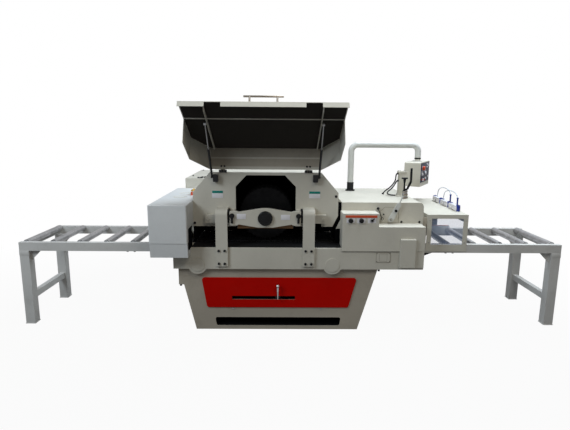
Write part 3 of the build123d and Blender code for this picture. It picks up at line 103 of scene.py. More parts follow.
# Places on the frame, in metres
BED_FRONT = -0.150
BED_TOP = 0.800
BASE_INNER = -0.104
COVER_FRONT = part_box("control_cover")[0].y + 0.028
LEFT_ROOF = 1.206
RIGHT_ROOF = 1.195
CABINET_ELBOW = -0.250
DRIVE_BACK = 1.400
DRIVE_TOP = 1.250
UPRIGHT_ROWS = (0.655, 0.775)
BUFFER_Z = (1.025, 1.140)
PANEL_FACE = -0.003
ACCESS_FRONT = -0.153
PENDANT_TOP = 1.520
POST_TOP = 1.289
AIR_UNITS = (0.272, 0.512, 0.752)
AIR_POST = 0.074
PORT_ROWS = (0.016, 0.030)
LEVER_X = 0.115
LEVER_SLOT = 0.313
FENCE_Y = 0.723
RAIL_BOLTS = {"left": (-1.298, -1.231), "right": (1.700, 1.767)}

# Patches and openings on front faces: left, right, bottom, top
CHIP_SLOT = (-0.468, 0.706, 0.036, 0.119)
PLATE_SPOTS = ((-0.491, -0.390, 1.229, 1.297), (0.397, 0.500, 1.231, 1.296))
ARM_SPOTS = ((-0.253, -0.172, 1.063, 1.110), (0.140, 0.222, 1.057, 1.103))
STRIP = (0.714, 0.997, 1.083, 1.1045)
ACCESS = (1.005, 1.135, 0.669, 0.759)
GUARD_WINDOW = (1.542, 1.838, 0.800, 1.048)

# Points on front faces: across, up
PLATE_SCREWS = ((0.645, 1.249), (-0.655, 0.995))
PANEL_SEAM = ((1.058, 1.009), (1.058, 1.114), (1.097, 1.153), (1.229, 1.153), (1.229, 1.009))
HOUSING_SCREWS = ((1.258, 1.015), (1.426, 1.015), (1.089, 1.086))
DOOR_CLIPS = ((-0.300, 0.206), (0.517, 0.203))
FENCE_END = ((2.02, 0.735), (2.002, 0.777), (1.976, 0.833))
STEP_BOLTS = ((1.05, 0.600), (-0.784, 0.452))

# Points on roofs: across, back
HOUSING_RINGS = ((-0.828, 0.206), (-0.823, 0.448))
CABINET_SCREWS = ((-0.770, 0.900), (-0.742, 0.900), (-0.735, 0.950), (-0.707, 0.950))

# Points in space: across, back, up
BAR_BOLT = (0.531, -0.040, 1.041)
LINK_KNOB = (1.1933, -0.0303, 1.1244)
LIFT = (1.363, 0.460, 1.448)

# Round fittings: radius, height
KNOB_CAP = (0.036, 0.0075)
KNOB_NUT = (0.012, 0.0095)
KNOB_BOSS = (0.006, 0.009)
KNOB_FLUTE = (0.0024, 0.018)
CLAMP_HUB = (0.020, 0.009)
CLAMP_NUT = (0.009, 0.005)
COCK_HUB = (0.0145, 0.034)
COCK_FLANGE = (0.022, 0.006)
COCK_NUT = (0.009, 0.006)
SLIDE_COLLAR = (0.012, 0.006)
LATCH_ROSE = (0.017, 0.006)
DOOR_HINGE = (0.006, 0.07)
ACCESS_PIN = (0.0035, 0.0012)
LINK_GRIP = (0.0125, 0.017)
LINK_NUT = (0.011, 0.004)
ROD_NUT = (0.006, 0.0045)
HOSE_FITTING = (0.010, 0.014)
HOSE_ELBOW = (0.011, 0.014)
SIDE_PORT = (0.009, 0.030)
PORT_NUT = (0.012, 0.011)
PENDANT_COLLAR = (0.0345, 0.014)
PENDANT_FLANGE = (0.048, 0.008)
PENDANT_PIN = (0.0035, 0.0015)
AIR_PORT = (0.006, 0.003)
AIR_STUD = (0.0065, 0.004)
AIR_COLLAR = (0.0095, 0.014)
GUARD_PIN = (0.005, 0.002)
STEP_STUD = (0.010, 0.035)
STEP_NUT = (0.017, 0.012)

# Wire rings: radius, wire's radius
LARGE_RING = (0.065, 0.0022)
SMALL_RING = (0.050, 0.0016)
SWITCH_RING = (0.016, 0.0012)
POST_BAND = (0.0365, 0.002)
ROLLER_HUB = (0.016, 0.002)

# The feed motor: across, up, radius, front, back
FEED_MOTOR = (0.610, 0.640, 0.062, 0.890, 1.120)

# The knobs of the control cover and the joints that they turn on
COVER_KNOBS = {
    "regulator_knob_left": "regulator_left_turn",
    "regulator_knob_right": "regulator_right_turn",
    "switch_lever": "switch_turn",
}

# The valves beside the lift cylinder: joint, radius, top
VALVES = (("t_handle_turn", 0.0162, 1.270), ("valve_lever_turn", 0.0152, 1.275))

# The lift cylinder's hoses, from the middle of its left side at the roof: across, back, up
HOSES = (
    ((-0.004, 0.0, 0.226), (-0.018, 0.0, 0.228), (-0.025, 0.0, 0.195), (-0.025, 0.0, 0.155),
     (-0.060, 0.03, 0.088), (-0.118, 0.09, 0.030), (-0.124, 0.11, 0.003)),
    ((-0.004, -0.02, 0.155), (-0.018, -0.02, 0.157), (-0.026, -0.02, 0.135), (-0.060, -0.02, 0.080),
     (-0.112, -0.01, 0.036), (-0.098, -0.02, 0.010), (-0.030, -0.03, 0.009)),
)

# A clear hose's bends: past its post, and before its end and under its peak
HOSE_RISE = 0.03
HOSE_FALL = ((0.05, 0.02), (0.005, 0.07))

# The pendant's face, from its middle: across, up, radius; the plates have a width and a height
PENDANT_BUTTONS = ((-0.104, 0.064, 0.022), (-0.130, 0.004, 0.016), (0.018, 0.006, 0.016))
PENDANT_LAMPS = ((0.120, 0.083, 0.013), (0.070, 0.068, 0.011), (0.130, -0.036, 0.011))
PENDANT_WARM = ((-0.120, -0.056, 0.010), (-0.020, -0.064, 0.010))
PENDANT_PLATES = (
    (0.095, 0.104, 0.090, 0.009), (-0.130, 0.030, 0.044, 0.008), (0.018, 0.033, 0.044, 0.008),
    (-0.070, -0.060, 0.060, 0.030), (0.040, -0.050, 0.060, 0.020),
)


def tint(name, description, value):
    """A colour property."""
    return bpy.props.FloatVectorProperty(
        name=name, description=description, default=value, subtype="COLOR", size=3, min=0.0, max=1.0)


def size(name, description, value):
    """A length property in metres."""
    return bpy.props.FloatProperty(
        name=name, description=description, default=value, unit="LENGTH", subtype="DISTANCE", precision=4)


def angle(name, description, value):
    """An angle property, given in degrees."""
    return bpy.props.FloatProperty(
        name=name, description=description, default=radians(value), unit="ROTATION", subtype="ANGLE")


def power(name, description, value):
    """A lamp's power in watts."""
    return bpy.props.FloatProperty(name=name, description=description, default=value, unit="POWER")


def repeats(name, description, value):
    """How often something is repeated."""
    return bpy.props.IntProperty(
        name=name, description=description, default=value, subtype="UNSIGNED", min=2)


class SawFinish(bpy.types.PropertyGroup):
    """Colours of the saw's paint, metal and plastic."""
    cream: tint("Cream", "Paint of the housings and the bed", (0.60, 0.57, 0.49))
    # A darker, warmer copy of the cream: painted shade on the base cabinet under the bed's overhang, and on the
    # shade pieces in the hood and beside the guard
    base: tint("Base", "Paint of the base cabinet", (0.42, 0.375, 0.305))
    table: tint("Table grey", "Paint of the roller tables", (0.59, 0.575, 0.545))
    grime: tint("Grime", "Brown film in the paint's worn places", (0.20, 0.17, 0.12))
    door: tint("Door red", "Paint of the base door", (0.52, 0.003, 0.0005))
    black: tint("Black", "Struts, brackets and knobs", (0.012, 0.012, 0.013))
    # A paler, cooler copy of the cream on the left housing: painted cool light falling from the left
    cool: tint("Cool grey", "Paint of the left housing", (0.68, 0.685, 0.675))
    # On the fence this paler paint is painted light that lifts it out of the guard's shade
    pale: tint("Pale", "Paint of the pendant's tube, the link lever and the fence", (0.62, 0.62, 0.585))
    felt: tint("Felt", "Brown-black felt inside the hood", (0.043, 0.038, 0.033))
    # Near black for the sheets that stand in for shade in the chamber, at the infeed and in the base: painted
    # shade
    lining: tint("Lining", "Black felt inside the chamber", (0.004, 0.004, 0.005))
    # Nearly black, far darker than ground steel: painted shade of the dark chamber on the blades and the arbor
    blade: tint("Blade", "Dark ground steel of the blades and the arbor", (0.014, 0.014, 0.015))
    steel: tint("Steel", "Strut rods, valves, bezels and bearings", (0.42, 0.42, 0.43))
    chrome: tint("Chrome", "Rollers, rods and lever balls", (0.70, 0.70, 0.72))
    handle: tint("Handle", "Warm plating of the hood's bar and the valves' nuts", (0.36, 0.31, 0.26))
    iron: tint("Iron", "Track pads, drums and pulleys", (0.030, 0.030, 0.032))
    panel_blue: tint("Panel blue", "Face of the pendant", (0.012, 0.016, 0.045))
    unit_blue: tint("Unit blue", "Cheeks of the air units", (0.02, 0.04, 0.27))
    white: tint("White", "Air unit bodies, bare plates and pale buttons", (0.78, 0.76, 0.78))
    band: tint("Band", "Coloured head of the bare plates", (0.0, 0.19, 0.15))
    strip: tint("Strip", "Bare strip on the control cover and the fence's trim", (0.62, 0.08, 0.025))
    backing: tint("Backing", "Brown board behind the arm", (0.22, 0.115, 0.05))
    emergency: tint("Emergency red", "Emergency stop, warm lamps and cock hub", (0.66, 0.07, 0.02))
    yellow: tint("Yellow", "Shut-off cock's lever", (0.75, 0.42, 0.04))
    clear: tint("Clear", "Clear air hoses", (0.58, 0.64, 0.72))
    pane: tint("Pane", "Lightly tinted window of the guard", (0.40, 0.52, 0.80))


class SawSizes(bpy.types.PropertyGroup):
    """Sizes that several pieces share."""
    film: size("Film", "Thickness of linings and bare plates", 0.0015)
    lining_gap: size("Lining gap", "How far a lining stands off its sheet", 0.0008)
    sheet: size("Sheet", "Thickness of the housings' sheet", 0.004)
    bolt: size("Bolt", "Width across a small bolt head", 0.016)


class SawStage(bpy.types.PropertyGroup):
    """Camera, floor and light."""
    focal: bpy.props.FloatProperty(
        name="Focal", description="Focal length in image pixels", default=458.0, subtype="PIXEL")
    pitch: angle("Pitch", "Downward tilt of the camera", 10.58)
    yaw: angle("Yaw", "Turn of the camera to the right", 0.64)
    roll: angle("Roll", "Roll of the camera", 0.45)
    place: bpy.props.FloatVectorProperty(
        name="Place", description="Where the camera stands", default=(0.131, -4.157, 1.85), unit="LENGTH",
        subtype="TRANSLATION", size=3)
    top_light: power("Top light", "Power of the lamp above", 345.0)
    side_light: power("Side light", "Power of the lamp at the left", 150.0)
    front_light: power("Front light", "Power of the lamp in front", 50.0)
    ambient: bpy.props.FloatProperty(
        name="Ambient", description="Strength of the room's light", default=0.115, subtype="FACTOR")
    cool: tint("Cool", "Colour of the lamps above and at the left", (0.80, 0.90, 1.0))
    warm: tint("Warm", "Colour of the lamp in front", (1.0, 0.93, 0.80))


# Shader helpers and groups


def new_group(name, inputs):
    """A shader group that puts out a surface, with its inputs' defaults; returns the tree and its ends."""
    tree = bpy.data.node_groups.new(name, "ShaderNodeTree")
    for label, value in inputs.items():
        kind = "NodeSocketFloat" if isinstance(value, float) else "NodeSocketColor"
        tree.interface.new_socket(label, in_out="INPUT", socket_type=kind).default_value = value
    tree.interface.new_socket("Color", in_out="OUTPUT", socket_type="NodeSocketColor")
    for label in ("Roughness", "Height"):
        tree.interface.new_socket(label, in_out="OUTPUT", socket_type="NodeSocketFloat")
    return tree, tree.nodes.new("NodeGroupInput"), tree.nodes.new("NodeGroupOutput")


def feed(tree, socket, value):
    """Link a socket to another node's output, or set it to a constant."""
    if isinstance(value, bpy.types.NodeSocket):
        tree.links.new(value, socket)
    else:
        socket.default_value = value


def noise(tree, vector, scale, detail=3.0, roughness=0.55):
    """A noise texture's value on a vector."""
    node = tree.nodes.new("ShaderNodeTexNoise")
    node.inputs["Detail"].default_value = detail
    node.inputs["Roughness"].default_value = roughness
    feed(tree, node.inputs["Scale"], scale)
    tree.links.new(vector, node.inputs["Vector"])
    return node.outputs["Fac"]


def spread(tree, value, low, high, to_low, to_high):
    """A value mapped from one range to another, clamped."""
    node = tree.nodes.new("ShaderNodeMapRange")
    for label, number in (("From Min", low), ("From Max", high), ("To Min", to_low), ("To Max", to_high)):
        node.inputs[label].default_value = number
    tree.links.new(value, node.inputs["Value"])
    return node.outputs["Result"]


def maths(tree, operation, first, second):
    """One arithmetic step on two values or sockets."""
    node = tree.nodes.new("ShaderNodeMath")
    node.operation = operation
    feed(tree, node.inputs[0], first)
    feed(tree, node.inputs[1], second)
    return node.outputs["Value"]


def blend_colour(tree, factor, first, second, mode="MIX"):
    """Two colours mixed by a factor."""
    node = tree.nodes.new("ShaderNodeMix")
    node.data_type = "RGBA"
    node.blend_type = mode
    for index, value in ((0, factor), (6, first), (7, second)):
        feed(tree, node.inputs[index], value)
    return node.outputs[2]


def blend_shaders(tree, factor, first, second, end):
    """Two shaders mixed by a factor into the tree's end node."""
    mix = tree.nodes.new("ShaderNodeMixShader")
    for socket, value in zip(mix.inputs, (factor, first, second)):
        tree.links.new(value, socket)
    tree.links.new(mix.outputs["Shader"], tree.nodes[end].inputs["Surface"])


def object_space(tree):
    """The piece's own coordinates, which ride with it."""
    return tree.nodes.new("ShaderNodeTexCoord").outputs["Object"]


def edge_mask(tree, radius):
    """One along sharp edges, zero on flat faces."""
    bevel = tree.nodes.new("ShaderNodeBevel")
    bevel.samples = 4
    bevel.inputs["Radius"].default_value = radius
    flat = tree.nodes.new("ShaderNodeNewGeometry")
    dot = tree.nodes.new("ShaderNodeVectorMath")
    dot.operation = "DOT_PRODUCT"
    tree.links.new(bevel.outputs["Normal"], dot.inputs[0])
    tree.links.new(flat.outputs["Normal"], dot.inputs[1])
    return spread(tree, dot.outputs["Value"], 0.995, 0.90, 0.0, 1.0)


def worn_paint_group():
    """Sprayed paint: soft mottling, smears of grime, orange peel and rubbed edges."""
    tree, start, end = new_group("Worn Paint", {
        "Color": (0.5, 0.5, 0.5, 1), "Grime Color": (0.2, 0.17, 0.12, 1), "Grime": 0.3, "Rub": 0.3,
        "Dull": 0.42})
    place = object_space(tree)
    cloud = spread(tree, noise(tree, place, 2.3, 4.0), 0.3, 0.7, 0.93, 1.05)
    speck = spread(tree, noise(tree, place, 55.0, 5.0, 0.7), 0.3, 0.7, 0.985, 1.015)
    shade = maths(tree, "MULTIPLY", cloud, speck)
    base = blend_colour(tree, 1.0, start.outputs["Color"], shade, "MULTIPLY")
    smear = spread(tree, noise(tree, place, 7.0, 6.0, 0.72), 0.52, 0.78, 0.0, 1.0)
    grime = maths(tree, "MULTIPLY", smear, start.outputs["Grime"])
    dirty = blend_colour(tree, grime, base, start.outputs["Grime Color"])
    patchy = spread(tree, noise(tree, place, 38.0, 4.0), 0.42, 0.62, 0.15, 1.0)
    rubbed = maths(tree, "MULTIPLY", edge_mask(tree, RUB_WIDTH), patchy)
    rubbed = maths(tree, "MULTIPLY", rubbed, start.outputs["Rub"])
    light = blend_colour(tree, 1.0, dirty, (1.55, 1.55, 1.55, 1), "MULTIPLY")
    tree.links.new(blend_colour(tree, rubbed, dirty, light), end.inputs["Color"])
    rough = spread(tree, noise(tree, place, 24.0, 3.0), 0.3, 0.7, -0.06, 0.08)
    tree.links.new(maths(tree, "ADD", start.outputs["Dull"], rough), end.inputs["Roughness"])
    tree.links.new(noise(tree, place, 420.0, 2.0), end.inputs["Height"])
    return tree


def turned_metal_group():
    """Metal turned on a lathe: fine rings along Y, smudges and dull bands."""
    tree, start, end = new_group(
        "Turned Metal", {"Color": (0.7, 0.7, 0.72, 1), "Ring Scale": 220.0, "Dull": 0.18})
    place = object_space(tree)
    stretch = tree.nodes.new("ShaderNodeMapping")
    stretch.inputs["Scale"].default_value = (0.02, 1.0, 0.02)
    tree.links.new(place, stretch.inputs["Vector"])
    rings = noise(tree, stretch.outputs["Vector"], start.outputs["Ring Scale"], 2.0, 0.5)
    smudge = spread(tree, noise(tree, place, 9.0, 5.0, 0.65), 0.4, 0.75, 0.0, 1.0)
    dark = blend_colour(tree, 1.0, start.outputs["Color"], (0.55, 0.54, 0.52, 1), "MULTIPLY")
    tree.links.new(blend_colour(tree, smudge, start.outputs["Color"], dark), end.inputs["Color"])
    extra = maths(tree, "MULTIPLY", smudge, 0.22)
    fine = spread(tree, rings, 0.3, 0.7, 0.0, 0.10)
    rough = maths(tree, "ADD", start.outputs["Dull"], maths(tree, "ADD", extra, fine))
    tree.links.new(rough, end.inputs["Roughness"])
    tree.links.new(rings, end.inputs["Height"])
    return tree


def fine_grain_group():
    """Moulded plastic or felt: a fine grain with faint pale scuffs."""
    tree, start, end = new_group(
        "Fine Grain", {"Color": (0.02, 0.02, 0.02, 1), "Grain": 900.0, "Scuff": 0.1, "Dull": 0.4})
    place = object_space(tree)
    grain = noise(tree, place, start.outputs["Grain"], 2.0, 0.5)
    scuff = spread(tree, noise(tree, place, 30.0, 6.0, 0.7), 0.56, 0.76, 0.0, 1.0)
    scuff = maths(tree, "MULTIPLY", scuff, start.outputs["Scuff"])
    pale = blend_colour(tree, 1.0, start.outputs["Color"], (0.10, 0.10, 0.10, 1), "ADD")
    tree.links.new(blend_colour(tree, scuff, start.outputs["Color"], pale), end.inputs["Color"])
    vary = spread(tree, grain, 0.3, 0.7, -0.05, 0.06)
    tree.links.new(maths(tree, "ADD", start.outputs["Dull"], vary), end.inputs["Roughness"])
    tree.links.new(grain, end.inputs["Height"])
    return tree


def surfaced(name, group, values, bump, depth, metallic=0.0, coat=0.0, shine=0.5, alpha=1.0):
    """A material whose colour, roughness and bump come from one shader group."""
    material = bpy.data.materials.new(name)
    material.use_nodes = True
    tree = material.node_tree
    shader = tree.nodes["Principled BSDF"]
    shader.inputs["Metallic"].default_value = metallic
    shader.inputs["Coat Weight"].default_value = coat
    shader.inputs["Specular IOR Level"].default_value = shine
    shader.inputs["Alpha"].default_value = alpha
    source = tree.nodes.new("ShaderNodeGroup")
    source.node_tree = group
    for label, value in values.items():
        source.inputs[label].default_value = (*value, 1.0) if hasattr(value, "__len__") else value
    relief = tree.nodes.new("ShaderNodeBump")
    relief.inputs["Strength"].default_value = bump
    relief.inputs["Distance"].default_value = depth
    tree.links.new(source.outputs["Color"], shader.inputs["Base Color"])
    tree.links.new(source.outputs["Roughness"], shader.inputs["Roughness"])
    tree.links.new(source.outputs["Height"], relief.inputs["Height"])
    tree.links.new(relief.outputs["Normal"], shader.inputs["Normal"])
    return material


LOOKS = {}


class SAW_OT_finishes(bpy.types.Operator):
    """Mix the paints, metals and plastics"""
    bl_idname = "saw.finishes"
    bl_label = "Finishes"
    paint_relief: size("Paint relief", "Depth of the paint's orange peel", 0.0002)
    metal_relief: size("Metal relief", "Depth of the metal's turned rings", 0.0001)
    grain_relief: size("Grain relief", "Depth of the plastic's and the felt's grain", 0.0003)

    def execute(self, context):
        finish = context.scene.saw_finish
        paint, metal, grained = worn_paint_group(), turned_metal_group(), fine_grain_group()

        def painted(name, rgb, grime, rub=0.25, dull=0.42, shine=0.3):
            values = {"Color": rgb, "Grime Color": finish.grime, "Grime": grime, "Rub": rub, "Dull": dull}
            return surfaced(name, paint, values, 0.12, self.paint_relief, shine=shine)

        def plated(name, rgb, dull=0.16, rings=220.0):
            values = {"Color": rgb, "Dull": dull, "Ring Scale": rings}
            return surfaced(name, metal, values, 0.10, self.metal_relief, metallic=1.0)

        def moulded(name, rgb, dull, scuff, grain=900.0, bump=0.15, shine=0.4, **more):
            values = {"Color": rgb, "Dull": dull, "Scuff": scuff, "Grain": grain}
            return surfaced(name, grained, values, bump, self.grain_relief, shine=shine, **more)

        LOOKS.update({
            "cream": painted("Cream paint", finish.cream, 0.10),
            # The cool paint is painted light on the left housing
            "cool": painted("Cool paint", finish.cool, 0.06),
            # On the fence the pale paint is painted light
            "pale": painted("Pale paint", finish.pale, 0.06, rub=0.2, dull=0.3),
            # The base paint is painted shade, a darker copy of the cream
            "base": painted("Base paint", finish.base, 0.28, rub=0.2),
            "table": painted("Table paint", finish.table, 0.22),
            "door": painted("Door paint", finish.door, 0.02, rub=0.1, shine=0.06),
            "black": painted("Black paint", finish.black, 0.0, rub=0.5, dull=0.4),
            "chrome": plated("Chrome", finish.chrome),
            "roller": plated("Roller steel", finish.chrome, 0.24, 160.0),
            "steel": plated("Steel", finish.steel, 0.34),
            # The blades' near black is painted shade
            "blade": plated("Blade steel", finish.blade, 0.42, 90.0),
            "iron": plated("Cast iron", finish.iron, 0.5, 60.0),
            "handle": plated("Handle plating", finish.handle, 0.2),
            "plastic": moulded("Black plastic", finish.black, 0.24, 0.02, bump=0.05, shine=0.18),
            "rubber": moulded("Rubber", finish.black, 0.65, 0.1, grain=500.0, bump=0.25, shine=0.2),
            "felt": moulded("Hood felt", finish.felt, 0.92, 0.05, grain=700.0, bump=0.5, shine=0.03),
            # Painted shade: the near-black sheets in the chamber, at the infeed and in the base
            "lining": moulded("Felt lining", finish.lining, 0.92, 0.03, grain=700.0, bump=0.5, shine=0.03),
            "white": moulded("White plastic", finish.white, 0.35, 0.0),
            "blue": moulded("Blue plastic", finish.unit_blue, 0.3, 0.05),
            "panel_blue": moulded("Panel film", finish.panel_blue, 0.3, 0.03, bump=0.05, shine=0.15),
            "band": moulded("Band film", finish.band, 0.4, 0.0),
            "strip": moulded("Strip film", finish.strip, 0.4, 0.1),
            "backing": moulded("Fibre board", finish.backing, 0.7, 0.2, grain=260.0, bump=0.3),
            "red": moulded("Red plastic", finish.emergency, 0.25, 0.0, bump=0.05, coat=0.3),
            "yellow": moulded("Yellow plastic", finish.yellow, 0.35, 0.1),
            "grime": moulded("Dark seam", finish.grime, 0.7, 0.1),
            "clear": moulded("Clear hose", finish.clear, 0.12, 0.0, bump=0.02, shine=0.5, alpha=0.8),
            "pane": moulded("Window pane", finish.pane, 0.08, 0.0, bump=0.02, alpha=0.2),
        })
        return {"FINISHED"}


# The looks of the part's material slots, and of nodes that look otherwise
SLOT_LOOKS = {
    "cream_paint": "cream", "red_paint": "door", "black_paint": "black", "black_plastic": "plastic",
    "chrome": "chrome", "roller_steel": "roller", "steel": "steel", "dark_iron": "iron",
    "grey_paint": "table", "red_plastic": "red", "blue_plastic": "blue", "yellow_plastic": "yellow",
}
NODE_LOOKS = {
    # The base cabinet's darker paint is painted shade under the bed
    # The blades and the arbor are painted nearly black as the chamber's shade
    # The left housing's cool paint is painted light from the left
    "base_cabinet": "base", "saw_blades": "blade", "arbor": "blade", "left_housing": "cool",
    "ball_lever": "plastic", "link_lever": "pale", "pendant_arm": "pale", "strut_rod_left": "steel",
    "strut_rod_right": "steel", "start_button": "white", "stop_button": "white",
}


class SAW_OT_paint(bpy.types.Operator):
    """Paint every node of the frame"""
    bl_idname = "saw.paint"
    bl_label = "Paint"

    def execute(self, context):
        for part in frame["record"]["subparts"]:
            node = frame["nodes"][part["node"]]
            look = NODE_LOOKS.get(part["node"]) or SLOT_LOOKS[part["material_slot"]]
            node.data.materials.clear()
            node.data.materials.append(LOOKS[look])
        return {"FINISHED"}


# Mesh helpers


def blanks(count):
    """Some new empty meshes."""
    return [bmesh.new() for _ in range(count)]


def piece(name, bm, look, body=MACHINE):
    """Turn a bmesh into a piece that rides on a body."""
    mesh = bpy.data.meshes.new(name)
    bm.to_mesh(mesh)
    bm.free()
    mesh.materials.append(LOOKS[look])
    mesh.shade_smooth()
    mesh.set_sharp_from_angle(angle=radians(CREASE))
    return placed(bpy.data.objects.new(name, mesh), body)


def placed(made, body):
    """Put a piece into the scene, on its body."""
    bpy.context.scene.collection.objects.link(made)
    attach(made, body)
    return made


def rounded(bm, verts, edge):
    """Round the sharp edges at some new vertices."""
    edges = {}
    for vert in verts:
        for line in vert.link_edges:
            if len(line.link_faces) == 2 and line.calc_face_angle(0) > radians(SHARP):
                edges[line] = None
    bmesh.ops.bevel(
        bm, geom=list(edges), offset=edge, segments=2, profile=0.5, affect="EDGES", clamp_overlap=True)


def slab(bm, low, high, edge=0.0, turn=None):
    """A box between two corners with rounded edges, turned about its middle."""
    low, high = Vector(low), Vector(high)
    made = bmesh.ops.create_cube(bm, size=1.0)["verts"]
    spot = Matrix.Translation((low + high) / 2)
    if turn is not None:
        spot = spot @ turn
    bmesh.ops.transform(bm, matrix=spot @ Matrix.Diagonal((*(high - low), 1.0)), verts=made)
    if edge:
        rounded(bm, made, edge)


def patch(bm, box, back, thick, edge=0.0):
    """A flat patch before a front face: left, right, bottom and top, the face's place and a thickness."""
    x0, x1, z0, z1 = box
    slab(bm, (x0, back - thick, z0), (x1, back, z1), edge)


def frame_line(bm, box, back, width):
    """Four thin bars round the inside of a rectangle on a front face."""
    x0, x1, z0, z1 = box
    for bar in ((x0, x1, z0, z0 + width), (x0, x1, z1 - width, z1),
                (x0, x0 + width, z0, z1), (x1 - width, x1, z0, z1)):
        patch(bm, bar, back, HAIR)


def facing(axis):
    """The turn that takes Z to an axis."""
    return Vector(axis).to_track_quat("Z", "Y").to_matrix().to_4x4()


def puck(bm, base, axis, radius, depth, edge=0.0, sides=40, tip=None):
    """A round or many-sided boss that rises from a base point along an axis."""
    middle = Vector(base) + Vector(axis).normalized() * depth / 2
    end = radius if tip is None else tip
    made = bmesh.ops.create_cone(
        bm, cap_ends=True, segments=sides, radius1=radius, radius2=end, depth=depth,
        matrix=Matrix.Translation(middle) @ facing(axis))["verts"]
    if edge:
        rounded(bm, made, edge)


def ball(bm, centre, radius, columns, rows):
    """A ball about a centre."""
    spot = Matrix.Translation(centre)
    bmesh.ops.create_uvsphere(bm, u_segments=columns, v_segments=rows, radius=radius, matrix=spot)


def hex_bolt(bm, base, axis, width):
    """A washer with a six-sided head on it."""
    axis = Vector(axis).normalized()
    washer = 0.12 * width
    puck(bm, base, axis, 0.75 * width, washer, 0.03 * width)
    puck(bm, Vector(base) + axis * washer, axis, 0.56 * width, 0.42 * width, 0.06 * width, HEX)


def plate(bm, outline, depth, edge=0.0):
    """A flat plate: outline points in space, in order, thickened along depth."""
    face = bm.faces.new([bm.verts.new(Vector(point)) for point in outline])
    grown = bmesh.ops.extrude_face_region(bm, geom=[face])["geom"]
    raised = [item for item in grown if isinstance(item, bmesh.types.BMVert)]
    bmesh.ops.translate(bm, vec=Vector(depth), verts=raised)
    bmesh.ops.recalc_face_normals(bm, faces=bm.faces)
    if edge:
        rounded(bm, raised, edge)


def corners(x0, x1, y0, y1):
    """The four corners of a rectangle."""
    return [(x, y) for x in (x0, x1) for y in (y0, y1)]


def spokes(count):
    """Even directions round a circle in the front plane."""
    turns = [index * tau / count for index in range(count)]
    return [Vector((cos(turn), 0, sin(turn))) for turn in turns]


def rounded_outline(width, height, radius, steps=6):
    """Points of a rectangle with round corners about the origin."""
    points = []
    across, up = width / 2 - radius, height / 2 - radius
    for quarter, (sx, sy) in enumerate(((1, 1), (-1, 1), (-1, -1), (1, -1))):
        for step in range(steps + 1):
            a = (quarter + step / steps) * pi / 2
            points.append((sx * across + radius * cos(a), sy * up + radius * sin(a)))
    return points


def ring(bm, centre, axis, radius, thick, sides=48, around=8):
    """A round wire ring about an axis."""
    turn = Matrix.Translation(Vector(centre)) @ facing(axis)
    rows = []
    for step in range(sides):
        a = tau * step / sides
        row = []
        for corner in range(around):
            b = tau * corner / around
            reach = radius + thick * cos(b)
            row.append(bm.verts.new(turn @ Vector((reach * cos(a), reach * sin(a), thick * sin(b)))))
        rows.append(row)
    for row, after in zip(rows, rows[1:] + rows[:1]):
        for corner in range(around):
            beside = (corner + 1) % around
            bm.faces.new((row[corner], after[corner], after[beside], row[beside]))


def hose(name, points, radius, look):
    """A smooth round tube on the machine that follows some points."""
    curve = bpy.data.curves.new(name, "CURVE")
    curve.dimensions = "3D"
    curve.bevel_depth = radius
    curve.bevel_resolution = 4
    curve.use_fill_caps = True
    spline = curve.splines.new("NURBS")
    spline.points.add(len(points) - 1)
    for knot, point in zip(spline.points, points):
        knot.co = (*point, 1.0)
    spline.order_u = 3
    spline.use_endpoint_u = True
    spline.resolution_u = 8
    curve.materials.append(LOOKS[look])
    return placed(bpy.data.objects.new(name, curve), MACHINE)


# The hood stands open; forward and up are its own directions when shut
HINGE = Vector(JOINTS["hood_swing"]["pos_m"])
OPEN_TURN = Matrix.Rotation(-radians(JOINTS["hood_swing"]["range_deg"][1]), 4, "X")
HOOD_FORWARD = OPEN_TURN @ FRONTWARD
HOOD_UP = OPEN_TURN @ Z_AXIS


def hood_point(x, forward, up):
    """A point of the hood, given by its place when shut."""
    return HINGE + X_AXIS * x + HOOD_FORWARD * forward + HOOD_UP * up


